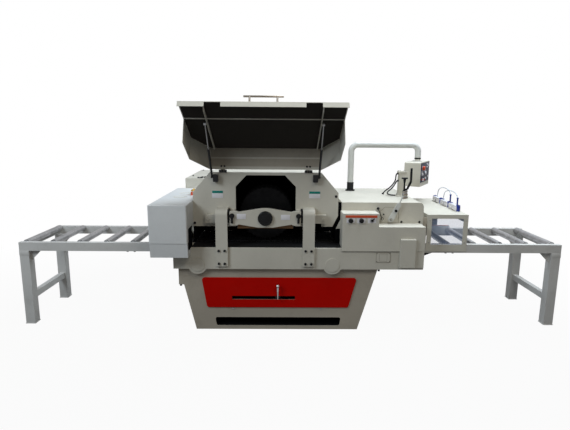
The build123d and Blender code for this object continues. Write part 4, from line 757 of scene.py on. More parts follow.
class SAW_OT_hood(bpy.types.Operator):
    """Line the hood and add its rail, seam, a darker sheet of painted shade inside the top panel, plated handle
    and hinges
    """
    bl_idname = "saw.hood"
    bl_label = "Hood"
    fold_forward: size("Fold forward", "From the hinge to the front panel's inner face", 0.213)
    fold_drop: size("Fold drop", "From the hinge down to the fold", 0.034)
    start_forward: size("Start forward", "From the hinge to the top panel's rear edge", 0.016)
    start_drop: size("Start drop", "From the hinge down to the top panel's rear edge", 0.002)
    cut_drop: size("Cut drop", "Height of the cut corners", 0.200)
    lip_drop: size("Lip drop", "From the hinge down to the lip", 0.784)
    rail_drop: size("Rail drop", "From the hinge down to the inner rail", 0.556)
    rail_width: size("Rail width", "Width of the inner rail and of the seam", 0.014)
    top_half: size("Top half", "Half the width at the fold", 0.508)
    bar_stand: size("Bar stand", "From the front panel's face to the handle's bar", 0.060)
    bar_half: size("Bar half", "Half the handle's length", 0.156)
    post_half: size("Post half", "From the middle to a handle post", 0.107)
    bar_r: size("Bar radius", "Radius of the handle's bar", 0.0078)
    bar_above: size("Bar above", "From the lip to the handle's bar", 0.020)
    hinge_x: size("Hinge place", "From the middle to a hinge", 0.388)
    screw_drop: size("Screw drop", "From the top panel's inner face down to a hinge screw", 0.0035)
    barrel: size("Barrel", "Length of one of a hinge's three barrels", 0.020)
    barrel_pitch: size("Barrel pitch", "Spacing of a hinge's barrels", 0.021)
    barrel_r: size("Barrel radius", "Radius of a hinge's barrels", 0.0125)

    def execute(self, context):
        sizes = context.scene.saw_sizes
        inset = 2 * sizes.sheet
        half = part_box("hood_shell")[1].x - inset
        top_half = self.top_half - inset
        face = self.fold_forward - sizes.lining_gap
        felt_face = face - sizes.film
        rear = hood_point(0, self.start_forward, -self.start_drop)
        fold = hood_point(0, self.fold_forward, -self.fold_drop)
        slope = (fold - rear).normalized()
        under = slope.cross(X_AXIS)
        under *= -1 if under.dot(HOOD_UP) > 0 else 1

        lining = bmesh.new()
        low, corner = 1.5 * sizes.sheet - self.lip_drop, -self.fold_drop - self.cut_drop
        top = -self.fold_drop - inset
        outline = [(-half, low), (half, low), (half, corner), (top_half, top), (-top_half, top),
                   (-half, corner)]
        plate(lining, [hood_point(x, face, up) for x, up in outline], -HOOD_FORWARD * sizes.film)
        piece("Hood_lining", lining, "felt", HOOD)

        rail, width = bmesh.new(), self.rail_width
        inner = felt_face - width / 3
        section = [(felt_face, 0.0), (felt_face, width), (inner, width), (inner, 0.0)]
        plate(rail, [hood_point(-half, forward, up - self.rail_drop) for forward, up in section],
              X_AXIS * 2 * half, sizes.film)
        seam = (rear + fold) / 2 - X_AXIS * top_half - HOOD_UP * (sizes.sheet + sizes.film / 2)
        across = X_AXIS * 2 * top_half
        raised = under * sizes.film
        plate(rail, [seam, seam + slope * width, seam + slope * width + raised, seam + raised], across)
        piece("Hood_rail", rail, "cream", HOOD)

        # A darker sheet inside the top panel: painted shade under the open hood's front panel
        shade_sheet = bmesh.new()
        drop = sizes.sheet + sizes.film / 4
        back = hood_point(-top_half, self.start_forward + inset, -self.start_drop - drop)
        front = hood_point(-top_half, felt_face, -self.fold_drop - drop)
        plate(shade_sheet, [back, front, front + across, back + across], raised / 2)
        piece("Hood_inner_skin", shade_sheet, "base", HOOD)

        self.handle(self.fold_forward + sizes.sheet)
        self.hinges(sizes, under)
        return {"FINISHED"}

    def handle(self, outer):
        """A round bar on two posts with flanged feet."""
        bar = bmesh.new()
        up = self.bar_above - self.lip_drop
        end = hood_point(-self.bar_half, outer + self.bar_stand, up)
        puck(bar, end, X_AXIS, self.bar_r, 2 * self.bar_half, self.bar_r / 3)
        for side in SIDES:
            foot = hood_point(side * self.post_half, outer, up)
            puck(bar, foot, HOOD_FORWARD, self.bar_r, self.bar_stand)
            puck(bar, foot, HOOD_FORWARD, 1.7 * self.bar_r, 0.5 * self.bar_r, FINE)
        piece("Hood_handle_plating", bar, "handle", HOOD)

    def hinges(self, sizes, under):
        """Two screws and three barrels for each hinge."""
        screws, barrels = blanks(2)
        near = hood_point(0, self.start_forward + 2 * self.rail_width,
                          -self.start_drop - sizes.sheet - self.screw_drop)
        for side in SIDES:
            middle = side * self.hinge_x
            for shift in (-self.rail_width, self.rail_width):
                hex_bolt(screws, near + X_AXIS * (middle + shift), under, 0.8 * sizes.bolt)
            for index in (-1, 0, 1):
                start = HINGE + X_AXIS * (middle + index * self.barrel_pitch - self.barrel / 2)
                puck(barrels, start, X_AXIS, self.barrel_r, self.barrel, SOFT)
        piece("Hood_hinge_screws", screws, "black", HOOD)
        piece("Hood_hinge_barrels", barrels, "black", HOOD)


class SAW_OT_shade_linings(bpy.types.Operator):
    """Black sheets of painted shade in the chamber, over the deck, at the infeed and behind the slots"""
    bl_idname = "saw.linings"
    bl_label = "Linings"
    shoulder: size("Shoulder", "Height where the chamber's cut corners begin", 1.281)
    cut_run: size("Cut run", "Width of the chamber's cut corners", 0.149)
    side_low: size("Side low", "From the deck up to the side linings", 0.018)
    side_high: size("Side high", "From the deck to the top of the side linings", 0.175)
    jamb: size("Jamb", "From the deck to the top of the strip beside the infeed", 0.165)
    wall: size("Rear wall", "Thickness of the chamber's rear wall", 0.030)
    track_front: size("Track front", "Front edge of the crawler track", 0.060)
    infeed_front: size("Infeed front", "Front end of the infeed curtain", -0.262)
    infeed_back: size("Infeed back", "Back end of the infeed curtain", -0.094)
    infeed_top: size("Infeed top", "Top of the infeed curtain", 0.992)
    screen_margin: size("Screen margin", "Margin of the screen inside the left housing", 0.03)
    screen_top: size("Screen top", "Top of the screen inside the left housing", 1.16)
    slot_back: size("Slot back", "How deep the chute behind the chip slot is", 0.26)
    slide_room: size("Slide room", "From the lever's slide back to the screen behind it", 0.008)
    slide_below: size("Slide below", "How far that screen reaches under the slide", 0.02)
    slide_above: size("Slide above", "How far that screen reaches over the slide's underside", 0.09)
    slide_margin: size("Slide margin", "From the door's ends to that screen", 0.1)

    def execute(self, context):
        sizes = context.scene.saw_sizes
        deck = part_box("saw_chamber")[0].z
        self.chamber(sizes, deck)
        self.infeed(sizes.film, deck)
        self.slots(sizes.film)
        return {"FINISHED"}

    def chamber(self, sizes, deck):
        """Painted shade: a black tunnel round the blades, black walls behind and beside it and a black cover on
        the deck.
        """
        film, gap = sizes.film, sizes.lining_gap
        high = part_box("saw_chamber")[1]
        plate_low, plate_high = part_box("front_plate")
        inset = sizes.sheet + gap
        half = high.x - inset
        top_half = half - self.cut_run
        front, back = plate_high.y + gap, high.y - self.wall - gap
        top, shoulder = high.z - inset, self.shoulder - inset / 2
        arch = [(-half, shoulder), (-top_half, top), (top_half, top), (half, shoulder)]
        tunnel = bmesh.new()
        walls = [(-half, plate_low.z), *arch, (half, plate_low.z)]
        for (x0, z0), (x1, z1) in zip(walls, walls[1:]):
            inward = Vector((z1 - z0, 0, x0 - x1)).normalized() * film
            plate(tunnel, [(x0, front, z0), (x1, front, z1), (x1, back, z1), (x0, back, z0)], inward)
        piece("Chamber_lining", tunnel, "lining")

        shade_curtain = bmesh.new()
        window = [(-half, deck), (half, deck), *reversed(arch)]
        plate(shade_curtain, [(x, back, z) for x, z in window], FRONTWARD * film)
        housing_low, housing_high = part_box("right_housing")
        slab(shade_curtain, (half, plate_high.y, deck), (housing_low.x, plate_high.y + film, housing_high.z))
        start = deck + self.side_low
        for x0, x1 in ((-half - sizes.sheet, -half + film), (half - film, half + sizes.sheet)):
            slab(shade_curtain, (x0, front, start), (x1, back, deck + self.side_high))
        slab(shade_curtain, (plate_low.x, -2 * film, start), (film - half, -film / 3, deck + self.jamb))
        piece("Wall_lining", shade_curtain, "lining")

        # A black cover on the deck: painted shade of the recess under the front plate
        cover = bmesh.new()
        slab(cover, (plate_low.x, BED_FRONT + 2 * sizes.sheet, deck + gap),
             (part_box("control_cover")[0].x, self.track_front - sizes.sheet, deck + gap + film))
        piece("Deck_lining", cover, "rubber")

    def infeed(self, film, deck):
        """Painted shade: a black curtain at the infeed's mouth and a black screen inside the left housing."""
        low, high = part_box("left_housing")
        back = self.infeed_back
        shade_curtain = bmesh.new()
        slab(shade_curtain, (high.x, self.infeed_front, deck + film),
             (high.x + film, back, self.infeed_top), film / 3)
        slab(shade_curtain, (low.x + self.screen_margin, back, deck + self.screen_margin),
             (high.x, back + film, self.screen_top))
        piece("Infeed_curtain", shade_curtain, "lining")

    def slots(self, film):
        """Painted shade: a black chute behind the chip slot and a black screen behind the lever's slot."""
        chute = bmesh.new()
        x0, x1, z0, z1 = CHIP_SLOT
        end = BASE_INNER + self.slot_back
        for wall in ((x0, x1, z1, z1 + film), (x0, x1, z0 - film, z0),
                     (x0 - film, x0, z0, z1), (x1, x1 + film, z0, z1)):
            patch(chute, wall, end, self.slot_back)
        patch(chute, CHIP_SLOT, end + film, film)
        door_low, door_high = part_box("base_door")
        slide_low, slide_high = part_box("slot_lever")
        back = slide_high.y + self.slide_room
        slab(chute, (door_low.x + self.slide_margin, back, slide_low.z - self.slide_below),
             (door_high.x - self.slide_margin, back + film, slide_low.z + self.slide_above))
        piece("Base_linings", chute, "lining")


class SAW_OT_track(bpy.types.Operator):
    """The crawler track's grooved pads on their chain"""
    bl_idname = "saw.track"
    bl_label = "Crawler track"
    pad_pitch: size("Pad pitch", "Spacing of the pads", 0.05)
    pad_thick: size("Pad thickness", "Height of a pad above its chain", 0.013)
    pad_gap: size("Pad gap", "Gap between two pads", 0.004)
    pad_edge: size("Pad edge", "Rounding of a pad's edges", 0.0015)
    link_half: size("Link half", "Half the thickness of a chain link", 0.003)
    groove: size("Groove", "Width of the grooves under the blades", 0.010)
    lanes: repeats("Lanes", "Lands between the grooves on one pad", 6)

    def execute(self, context):
        low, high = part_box("feed_track")
        radius = (high.z - low.z) / 2
        run = high.x - low.x - 2 * radius
        around = 2 * (run + pi * radius)
        count = round(around / self.pad_pitch)
        lane = (high.y - low.y) / self.lanes
        half_pad = (self.pad_pitch - self.pad_gap) / 2
        reach = Vector((half_pad, (lane - self.groove) / 2, self.pad_thick / 2))
        link = Vector((half_pad, (high.y - low.y) / 2, self.link_half))
        pads, chain = blanks(2)
        for index in range(count):
            spot, turn = self.on_track(index / count * around, low, run, radius)
            tilt = Matrix.Rotation(turn, 4, "Y")
            outward = tilt @ Z_AXIS
            for number in range(self.lanes):
                centre = spot - outward * self.pad_thick / 2 + Y_AXIS * (low.y + (number + 0.5) * lane)
                slab(pads, centre - reach, centre + reach, self.pad_edge, tilt)
            centre = spot - outward * (self.pad_thick + self.link_half) + Y_AXIS * (low.y + high.y) / 2
            slab(chain, centre - link, centre + link, 0.0, tilt)
        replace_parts(piece("Track_pads", pads, "iron"), "feed_track")
        piece("Track_links", chain, "rubber")
        return {"FINISHED"}

    def on_track(self, along, low, run, radius):
        """A point of the track's outer line, and the turn of a pad there."""
        left, height, arc = low.x + radius, low.z + radius, pi * radius
        right = left + run
        if along < run:
            return Vector((left + along, 0, height + radius)), 0.0
        if run + arc <= along < 2 * run + arc:
            return Vector((right - (along - run - arc), 0, height - radius)), pi
        first = along < run + arc
        turn = (along - run) / radius if first else pi + (along - 2 * run - arc) / radius
        centre = right if first else left
        return Vector((centre + radius * sin(turn), 0, height + radius * cos(turn))), turn


class SAW_OT_plates(bpy.types.Operator):
    """Bare plates, screws and the corner gusset round the front plate"""
    bl_idname = "saw.plates"
    bl_label = "Bare plates"
    head: size("Head", "From a bare plate's top edge to its coloured head's lower edge", 0.024)
    gusset_width: size("Gusset width", "Width of the corner gusset", 0.042)
    gusset_foot: size("Gusset foot", "Height of the gusset's lower edge", 0.950)
    gusset_top: size("Gusset top", "Height of the gusset's tip", 1.036)
    gusset_out: size("Gusset out", "How far the gusset stands before the front plate", 0.012)

    def execute(self, context):
        sizes = context.scene.saw_sizes
        film = sizes.film
        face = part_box("front_plate")[0].y
        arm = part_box("outboard_arm")[0].y
        white, band = blanks(2)
        for spot in PLATE_SPOTS:
            x0, x1, _, z1 = spot
            patch(white, spot, face, film, film / 3)
            patch(band, (x0 + FINE, x1 - FINE, z1 - self.head, z1 - FINE), face - film, 0.4 * film, film / 6)
        for spot in ARM_SPOTS:
            patch(white, spot, arm, film, film / 3)
        piece("Bare_plates", white, "white")
        piece("Bare_plate_heads", band, "band")
        small = bmesh.new()
        for x, z in PLATE_SCREWS:
            hex_bolt(small, (x, face, z), FRONTWARD, sizes.bolt)
        piece("Plate_screws", small, "black")
        gusset = bmesh.new()
        cover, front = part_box("control_cover")[0].x, face - self.gusset_out
        foot, top = self.gusset_foot, self.gusset_top
        outline = [(cover - self.gusset_width, foot), (cover, top), (cover, foot)]
        plate(gusset, [(x, front, z) for x, z in outline], Y_AXIS * sizes.sheet, FINE)
        piece("Corner_gusset", gusset, "cream")
        return {"FINISHED"}


class SAW_OT_arm(bpy.types.Operator):
    """Bolts, buffers, backing board and knob caps of the outboard arm"""
    bl_idname = "saw.arm"
    bl_label = "Outboard arm"
    upright_x: size("Upright", "From the middle to an upright", 0.390)
    upright_half: size("Upright half", "From an upright's middle to its buffer", 0.0535)
    upright_out: size("Upright out", "How far an upright's face stands before the bed", 0.020)
    bolt_spread: size("Bolt spread", "From an upright's middle to a bolt", 0.026)
    bolt_r: size("Bolt radius", "Radius of an upright's bolt head", 0.0124)
    bolt_head: size("Bolt head", "Height of an upright's bolt head", 0.0092)
    board: size("Board", "Thickness of the backing board", 0.0012)
    board_half: size("Board half", "Half the backing board's length", 0.249)
    board_high: size("Board height", "Height of the backing board", 0.055)
    board_drop: size("Board drop", "From the arbor down to the board's lower edge", 0.0975)
    cap_in: size("Cap place", "From the bearing knob's front back to its cap", 0.0045)
    boss_ring: size("Boss ring", "From the bearing knob's middle to its bosses", 0.0465)
    boss_in: size("Boss place", "From the cap back to its bosses", 0.004)
    wing_half: size("Wing half", "Half the width of a clamp knob's wing", 0.0085)
    wing_in: size("Wing place", "From a clamp knob's front back to its wing's back", 0.004)
    wing_top: size("Wing top", "From a clamp knob's middle down to its wing", 0.012)

    def execute(self, context):
        sizes = context.scene.saw_sizes
        x, y, z = BAR_BOLT
        front = BED_FRONT - self.upright_out
        bolts = bmesh.new()
        for side in SIDES:
            for row in UPRIGHT_ROWS:
                for shift in (-self.bolt_spread, self.bolt_spread):
                    self.socket(bolts, Vector((side * self.upright_x + shift, front, row)))
            hex_bolt(bolts, (side * x, y, z), FRONTWARD, sizes.bolt)
        piece("Arm_bolts", bolts, "iron")

        low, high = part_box("outboard_arm")
        buffers = bmesh.new()
        foot, top = BUFFER_Z
        for side in SIDES:
            x0, x1 = sorted((side * (high.x + FINE), side * (self.upright_x - self.upright_half)))
            slab(buffers, (x0, low.y + sizes.sheet, foot), (x1, y + CLEAR, top), SOFT)
        piece("Arm_buffers", buffers, "rubber")

        arbor = Vector(JOINTS["bearing_knob_turn"]["pos_m"])
        board, half = bmesh.new(), self.board_half
        back, foot = high.y - sizes.sheet, arbor.z - self.board_drop
        front, wide, edge = back - self.board, half + sizes.film, sizes.film / 5
        slab(board, (-half, front, foot), (half, back - CLEAR, foot + self.board_high), edge)
        slab(board, (-wide, front, foot - self.board), (wide, high.y + self.board, foot), edge)
        piece("Arm_backing", board, "backing")
        self.knob_cap(arbor)
        for side in ("left", "right"):
            self.clamp_cap(side)
        return {"FINISHED"}

    def socket(self, bm, spot):
        """A cap screw with a six-sided socket."""
        puck(bm, spot, FRONTWARD, self.bolt_r, self.bolt_head, 1.5 * FINE, 28)
        puck(bm, spot + FRONTWARD * self.bolt_head, FRONTWARD, 0.5 * self.bolt_r, 2 * CLEAR, 0.0, HEX)

    def knob_cap(self, arbor):
        """The bearing knob's disc and nut with six bosses round them."""
        cap = bmesh.new()
        centre = Vector((arbor.x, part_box("bearing_knob")[0].y + self.cap_in, arbor.z))
        puck(cap, centre, FRONTWARD, *KNOB_CAP, BROAD, 48)
        puck(cap, centre, FRONTWARD, *KNOB_NUT, SOFT, HEX)
        for spoke in spokes(6):
            spot = centre + spoke * self.boss_ring + Y_AXIS * self.boss_in
            puck(cap, spot, FRONTWARD, *KNOB_BOSS, SOFT, 20)
        piece("Knob_cap", cap, "plastic", "bearing_knob")

    def clamp_cap(self, side):
        """A clamp knob's hub, nut and wing."""
        name = f"clamp_knob_{side}"
        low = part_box(name)[0]
        x, _, z = JOINTS[f"clamp_{side}_turn"]["pos_m"]
        clamp = bmesh.new()
        puck(clamp, (x, low.y + FINE, z), FRONTWARD, *CLAMP_HUB, BROAD)
        puck(clamp, (x, low.y + SOFT - CLAMP_HUB[1], z), FRONTWARD, *CLAMP_NUT, FINE, HEX)
        slab(clamp, (x - self.wing_half, low.y - BROAD, low.z + SOFT),
             (x + self.wing_half, low.y + self.wing_in, z - self.wing_top), BROAD)
        piece(f"Clamp_cap_{side}", clamp, "plastic", name)


class SAW_OT_left(bpy.types.Operator):
    """Rings, cock hub and screws on the left housing and the rear cabinet"""
    bl_idname = "saw.left"
    bl_label = "Left side"
    screw: size("Screw", "Width across a large screw's head", 0.022)
    screw_in: size("Screw inset", "From the cabinet's sides to its small screws", 0.04)
    screw_front: size("Screw front", "From the cabinet's front to its small screws", 0.25)
    screw_back: size("Screw back", "From the cabinet's back to its small screws", 0.06)

    def execute(self, context):
        x, y, _ = JOINTS["cock_turn"]["pos_m"]
        rings = bmesh.new()
        for middle in HOUSING_RINGS:
            ring(rings, (*middle, LEFT_ROOF), Z_AXIS, *LARGE_RING)
            ring(rings, (*middle, LEFT_ROOF), Z_AXIS, *SMALL_RING)
        piece("Housing_rings", rings, "cream")
        hub, nut = blanks(2)
        puck(hub, (x, y, LEFT_ROOF), Z_AXIS, *COCK_HUB, SOFT)
        puck(hub, (x, y, LEFT_ROOF), Z_AXIS, *COCK_FLANGE, FINE, HEX)
        piece("Cock_hub", hub, "red")
        puck(nut, (x, y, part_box("cock_lever")[1].z), Z_AXIS, *COCK_NUT, FINE, HEX)
        piece("Cock_nut", nut, "chrome", "cock_lever")

        low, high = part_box("rear_cabinet")
        screws = bmesh.new()
        for spot in CABINET_SCREWS:
            hex_bolt(screws, (*spot, high.z), Z_AXIS, self.screw)
        for spot in corners(low.x + self.screw_in, CABINET_ELBOW - self.screw_in,
                            low.y + self.screw_front, high.y - self.screw_back):
            hex_bolt(screws, (*spot, high.z), Z_AXIS, context.scene.saw_sizes.bolt)
        piece("Cabinet_screws", screws, "black")
        return {"FINISHED"}


class SAW_OT_base(bpy.types.Operator):
    """The slot's plated lever on its slide, and the clips under the door"""
    bl_idname = "saw.base"
    bl_label = "Base lever"
    root_r: size("Root radius", "Radius of the lever at the slot", 0.004)
    grip_r: size("Grip radius", "Radius of the lever under its cap", 0.0105)
    cap_r: size("Cap radius", "Radius of the lever's cap", 0.0155)
    stem_end: size("Stem end", "From the slide's back to the lever's inner end", 0.01)
    band: size("Band", "Height of the band under the lever's cap", 0.006)
    band_out: size("Band out", "How far the band stands out of the grip", 0.0015)
    slide: size("Slide", "Thickness of the slide behind the slot", 0.0195)
    clip: size("Clip", "Depth of a door clip and half its width", 0.012)

    def execute(self, context):
        low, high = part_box("slot_lever")
        front = low.y + self.cap_r + HAIR
        neck = high.z - 2 * self.cap_r
        root = (LEVER_X, front, LEVER_SLOT)
        lever, band, slide = blanks(3)
        puck(lever, root, Z_AXIS, self.root_r, neck - LEVER_SLOT, 0.0, 32, self.grip_r)
        ball(lever, (LEVER_X, front, high.z - self.cap_r), self.cap_r, 32, 20)
        puck(lever, root, Y_AXIS, self.root_r, high.y - front - self.stem_end, 0.0, 24)
        ball(lever, root, self.root_r, 24, 12)
        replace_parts(piece("Slot_lever_plating", lever, "chrome", "slot_lever"), "slot_lever")
        puck(band, (LEVER_X, front, neck + FINE), Z_AXIS, self.grip_r + self.band_out, self.band, FINE, 32)
        piece("Slot_lever_band", band, "plastic", "slot_lever")
        face = high.y - self.slide
        slab(slide, (low.x, face, low.z), (high.x, high.y, 2 * LEVER_SLOT - low.z), SOFT)
        puck(slide, (LEVER_X, face + HAIR, LEVER_SLOT), FRONTWARD, *SLIDE_COLLAR, FINE, 32)
        piece("Slot_slide", slide, "plastic", "slot_lever")
        clips, clip = bmesh.new(), self.clip
        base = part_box("base_door")[0].y
        for x, z in DOOR_CLIPS:
            slab(clips, (x - clip, base, z - clip / 3), (x + clip, base + clip, z + clip / 2), SOFT)
            puck(clips, (x + clip / 2, base + FINE, z), FRONTWARD, clip / 4, clip / 4, FINE, 16)
        piece("Door_clips", clips, "steel")
        return {"FINISHED"}


class SAW_OT_back(bpy.types.Operator):
    """Doors, louvres and latches on the back of the cabinet and the housings, and the feed motor's fins"""
    bl_idname = "saw.back"
    bl_label = "Back"
    door: size("Door", "Thickness of a door", 0.003)
    door_gap: size("Door gap", "Margin round a door", 0.05)
    right_foot: size("Right foot", "From the bed up to the right housing's back door", 0.06)
    right_screw: size("Right screw", "Width across that door's screws", 0.014)
    right_inset: size("Right inset", "From that door's edges to its screws", 0.03)
    slat: size("Slat", "Height of one louvre", 0.022)
    slat_out: size("Slat out", "How far a louvre stands out", 0.010)
    slat_in: size("Slat inset", "From a door's sides to its louvres", 0.12)
    slat_low: size("Low slats", "From a door's lower edge to its low louvres", 0.10)
    slat_high: size("High slats", "From a door's upper edge down to its high louvres", 0.36)
    slats: repeats("Slats", "Louvres in one field", 8)
    latch_in: size("Latch inset", "From a door's edge to its latch", 0.04)
    grip_half: size("Grip half", "Half a latch grip's width", 0.006)
    grip_out: size("Grip out", "From the cabinet to a latch grip, and the grip's thickness", 0.008)
    grip_drop: size("Grip drop", "How far a latch's grip hangs down", 0.045)
    grip_rise: size("Grip rise", "How far a latch's grip reaches up", 0.012)
    hinge_end: size("Hinge end", "From a door's ends to its hinges", 0.16)
    hinge_out: size("Hinge out", "From the cabinet to a hinge's middle", 0.004)
    hinge_gap: size("Hinge gap", "From a door's edge to a hinge's middle", 0.008)
    fins: repeats("Fins", "Cooling fins of the feed motor", 14)
    fin: size("Fin", "Thickness of a cooling fin", 0.005)
    fin_start: size("Fin start", "From the motor's front to its first fin", 0.02)
    fin_end: size("Fin end", "From the motor's back to its last fin", 0.04)
    fin_out: size("Fin out", "How far a fin stands out, and the cowl's rounding", 0.006)
    cowl_out: size("Cowl out", "How far the fan cowl stands out", 0.008)
    cowl_in: size("Cowl place", "From the motor's back to its fan cowl", 0.03)
    cowl: size("Cowl", "Length of the fan cowl", 0.034)
    box_half: size("Box half", "Half the terminal box's side", 0.05)
    box_in: size("Box sunk", "How deep the terminal box sits in the motor", 0.01)
    box_high: size("Box height", "How far the terminal box stands out", 0.045)

    def execute(self, context):
        low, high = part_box("rear_cabinet")
        doors, slats, latches = blanks(3)
        gap, door, foot = self.door_gap, self.door, 2 * self.door_gap
        wings = ((low.x + gap, CABINET_ELBOW - gap, high.y, high.z - gap),
                 (CABINET_ELBOW + gap, high.x - gap, DRIVE_BACK, DRIVE_TOP - gap))
        for x0, x1, y, top in wings:
            slab(doors, (x0, y, foot), (x1, y + door, top), FINE)
            self.louvres(slats, x0, x1, y + door, (foot + self.slat_low, top - self.slat_high))
            x, middle, near = x1 - self.latch_in, (foot + top) / 2, y + self.grip_out
            puck(latches, (x, y + door, middle), Y_AXIS, *LATCH_ROSE, door / 2)
            slab(latches, (x - self.grip_half, near, middle - self.grip_drop),
                 (x + self.grip_half, near + self.grip_out, middle + self.grip_rise), BROAD)
            self.hinges(latches, x0 - self.hinge_gap, y + self.hinge_out, foot, top)
        y0, y1, top = low.y + foot, high.y - gap, high.z - gap
        slab(doors, (low.x - door, y0, foot), (low.x, y1, top), FINE)
        self.hinges(latches, low.x - self.hinge_out, y1 + self.hinge_gap, foot, top)
        rose = (low.x - door, y0 + self.latch_in, (low.z + high.z) / 2)
        puck(latches, rose, -X_AXIS, *LATCH_ROSE, door / 2)

        right_low, right_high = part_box("right_housing")
        x0, x1, back = right_low.x + gap, right_high.x - gap, right_high.y
        z0, z1, inset = BED_TOP + self.right_foot, right_high.z - gap, self.right_inset
        slab(doors, (x0, back, z0), (x1, back + door, z1), FINE)
        for x, z in corners(x0 + inset, x1 - inset, z0 + inset, z1 - inset):
            hex_bolt(latches, (x, back + door, z), Y_AXIS, self.right_screw)
        piece("Back_doors", doors, "cream")
        piece("Back_louvres", slats, "cream")
        piece("Back_latches", latches, "black")
        self.feed_motor()
        return {"FINISHED"}

    def louvres(self, bm, x0, x1, face, fields):
        """Fields of sloped slats on a door's face, each from its lowest slat up."""
        x, along = x0 + self.slat_in, X_AXIS * (x1 - x0 - 2 * self.slat_in)
        for row in range(self.slats):
            for field in fields:
                z = field + row * 1.5 * self.slat
                section = [(x, face, z), (x, face, z + self.slat), (x, face + self.slat_out, z)]
                plate(bm, section, along, 0.8 * FINE)

    def hinges(self, bm, x, y, foot, top):
        """Two upright hinge pins beside a door."""
        for z in (foot + self.hinge_end, top - self.hinge_end):
            puck(bm, (x, y, z - DOOR_HINGE[1] / 2), Z_AXIS, *DOOR_HINGE, FINE)

    def feed_motor(self):
        """The feed motor's cooling fins, fan cowl and terminal box."""
        fins, half = bmesh.new(), self.box_half
        x, z, radius, front, back = FEED_MOTOR
        first, last = front + self.fin_start, back - self.fin_end
        for index in range(self.fins):
            y = first + index * (last - first) / (self.fins - 1)
            puck(fins, (x, y, z), Y_AXIS, radius + self.fin_out, self.fin, FINE)
        puck(fins, (x, back - self.cowl_in, z), Y_AXIS, radius + self.cowl_out, self.cowl, self.fin_out)
        slab(fins, (x - half, front + half, z + radius - self.box_in),
             (x + half, front + 3 * half, z + radius + self.box_high), 2 * SOFT)
        piece("Feed_motor_fins", fins, "table")


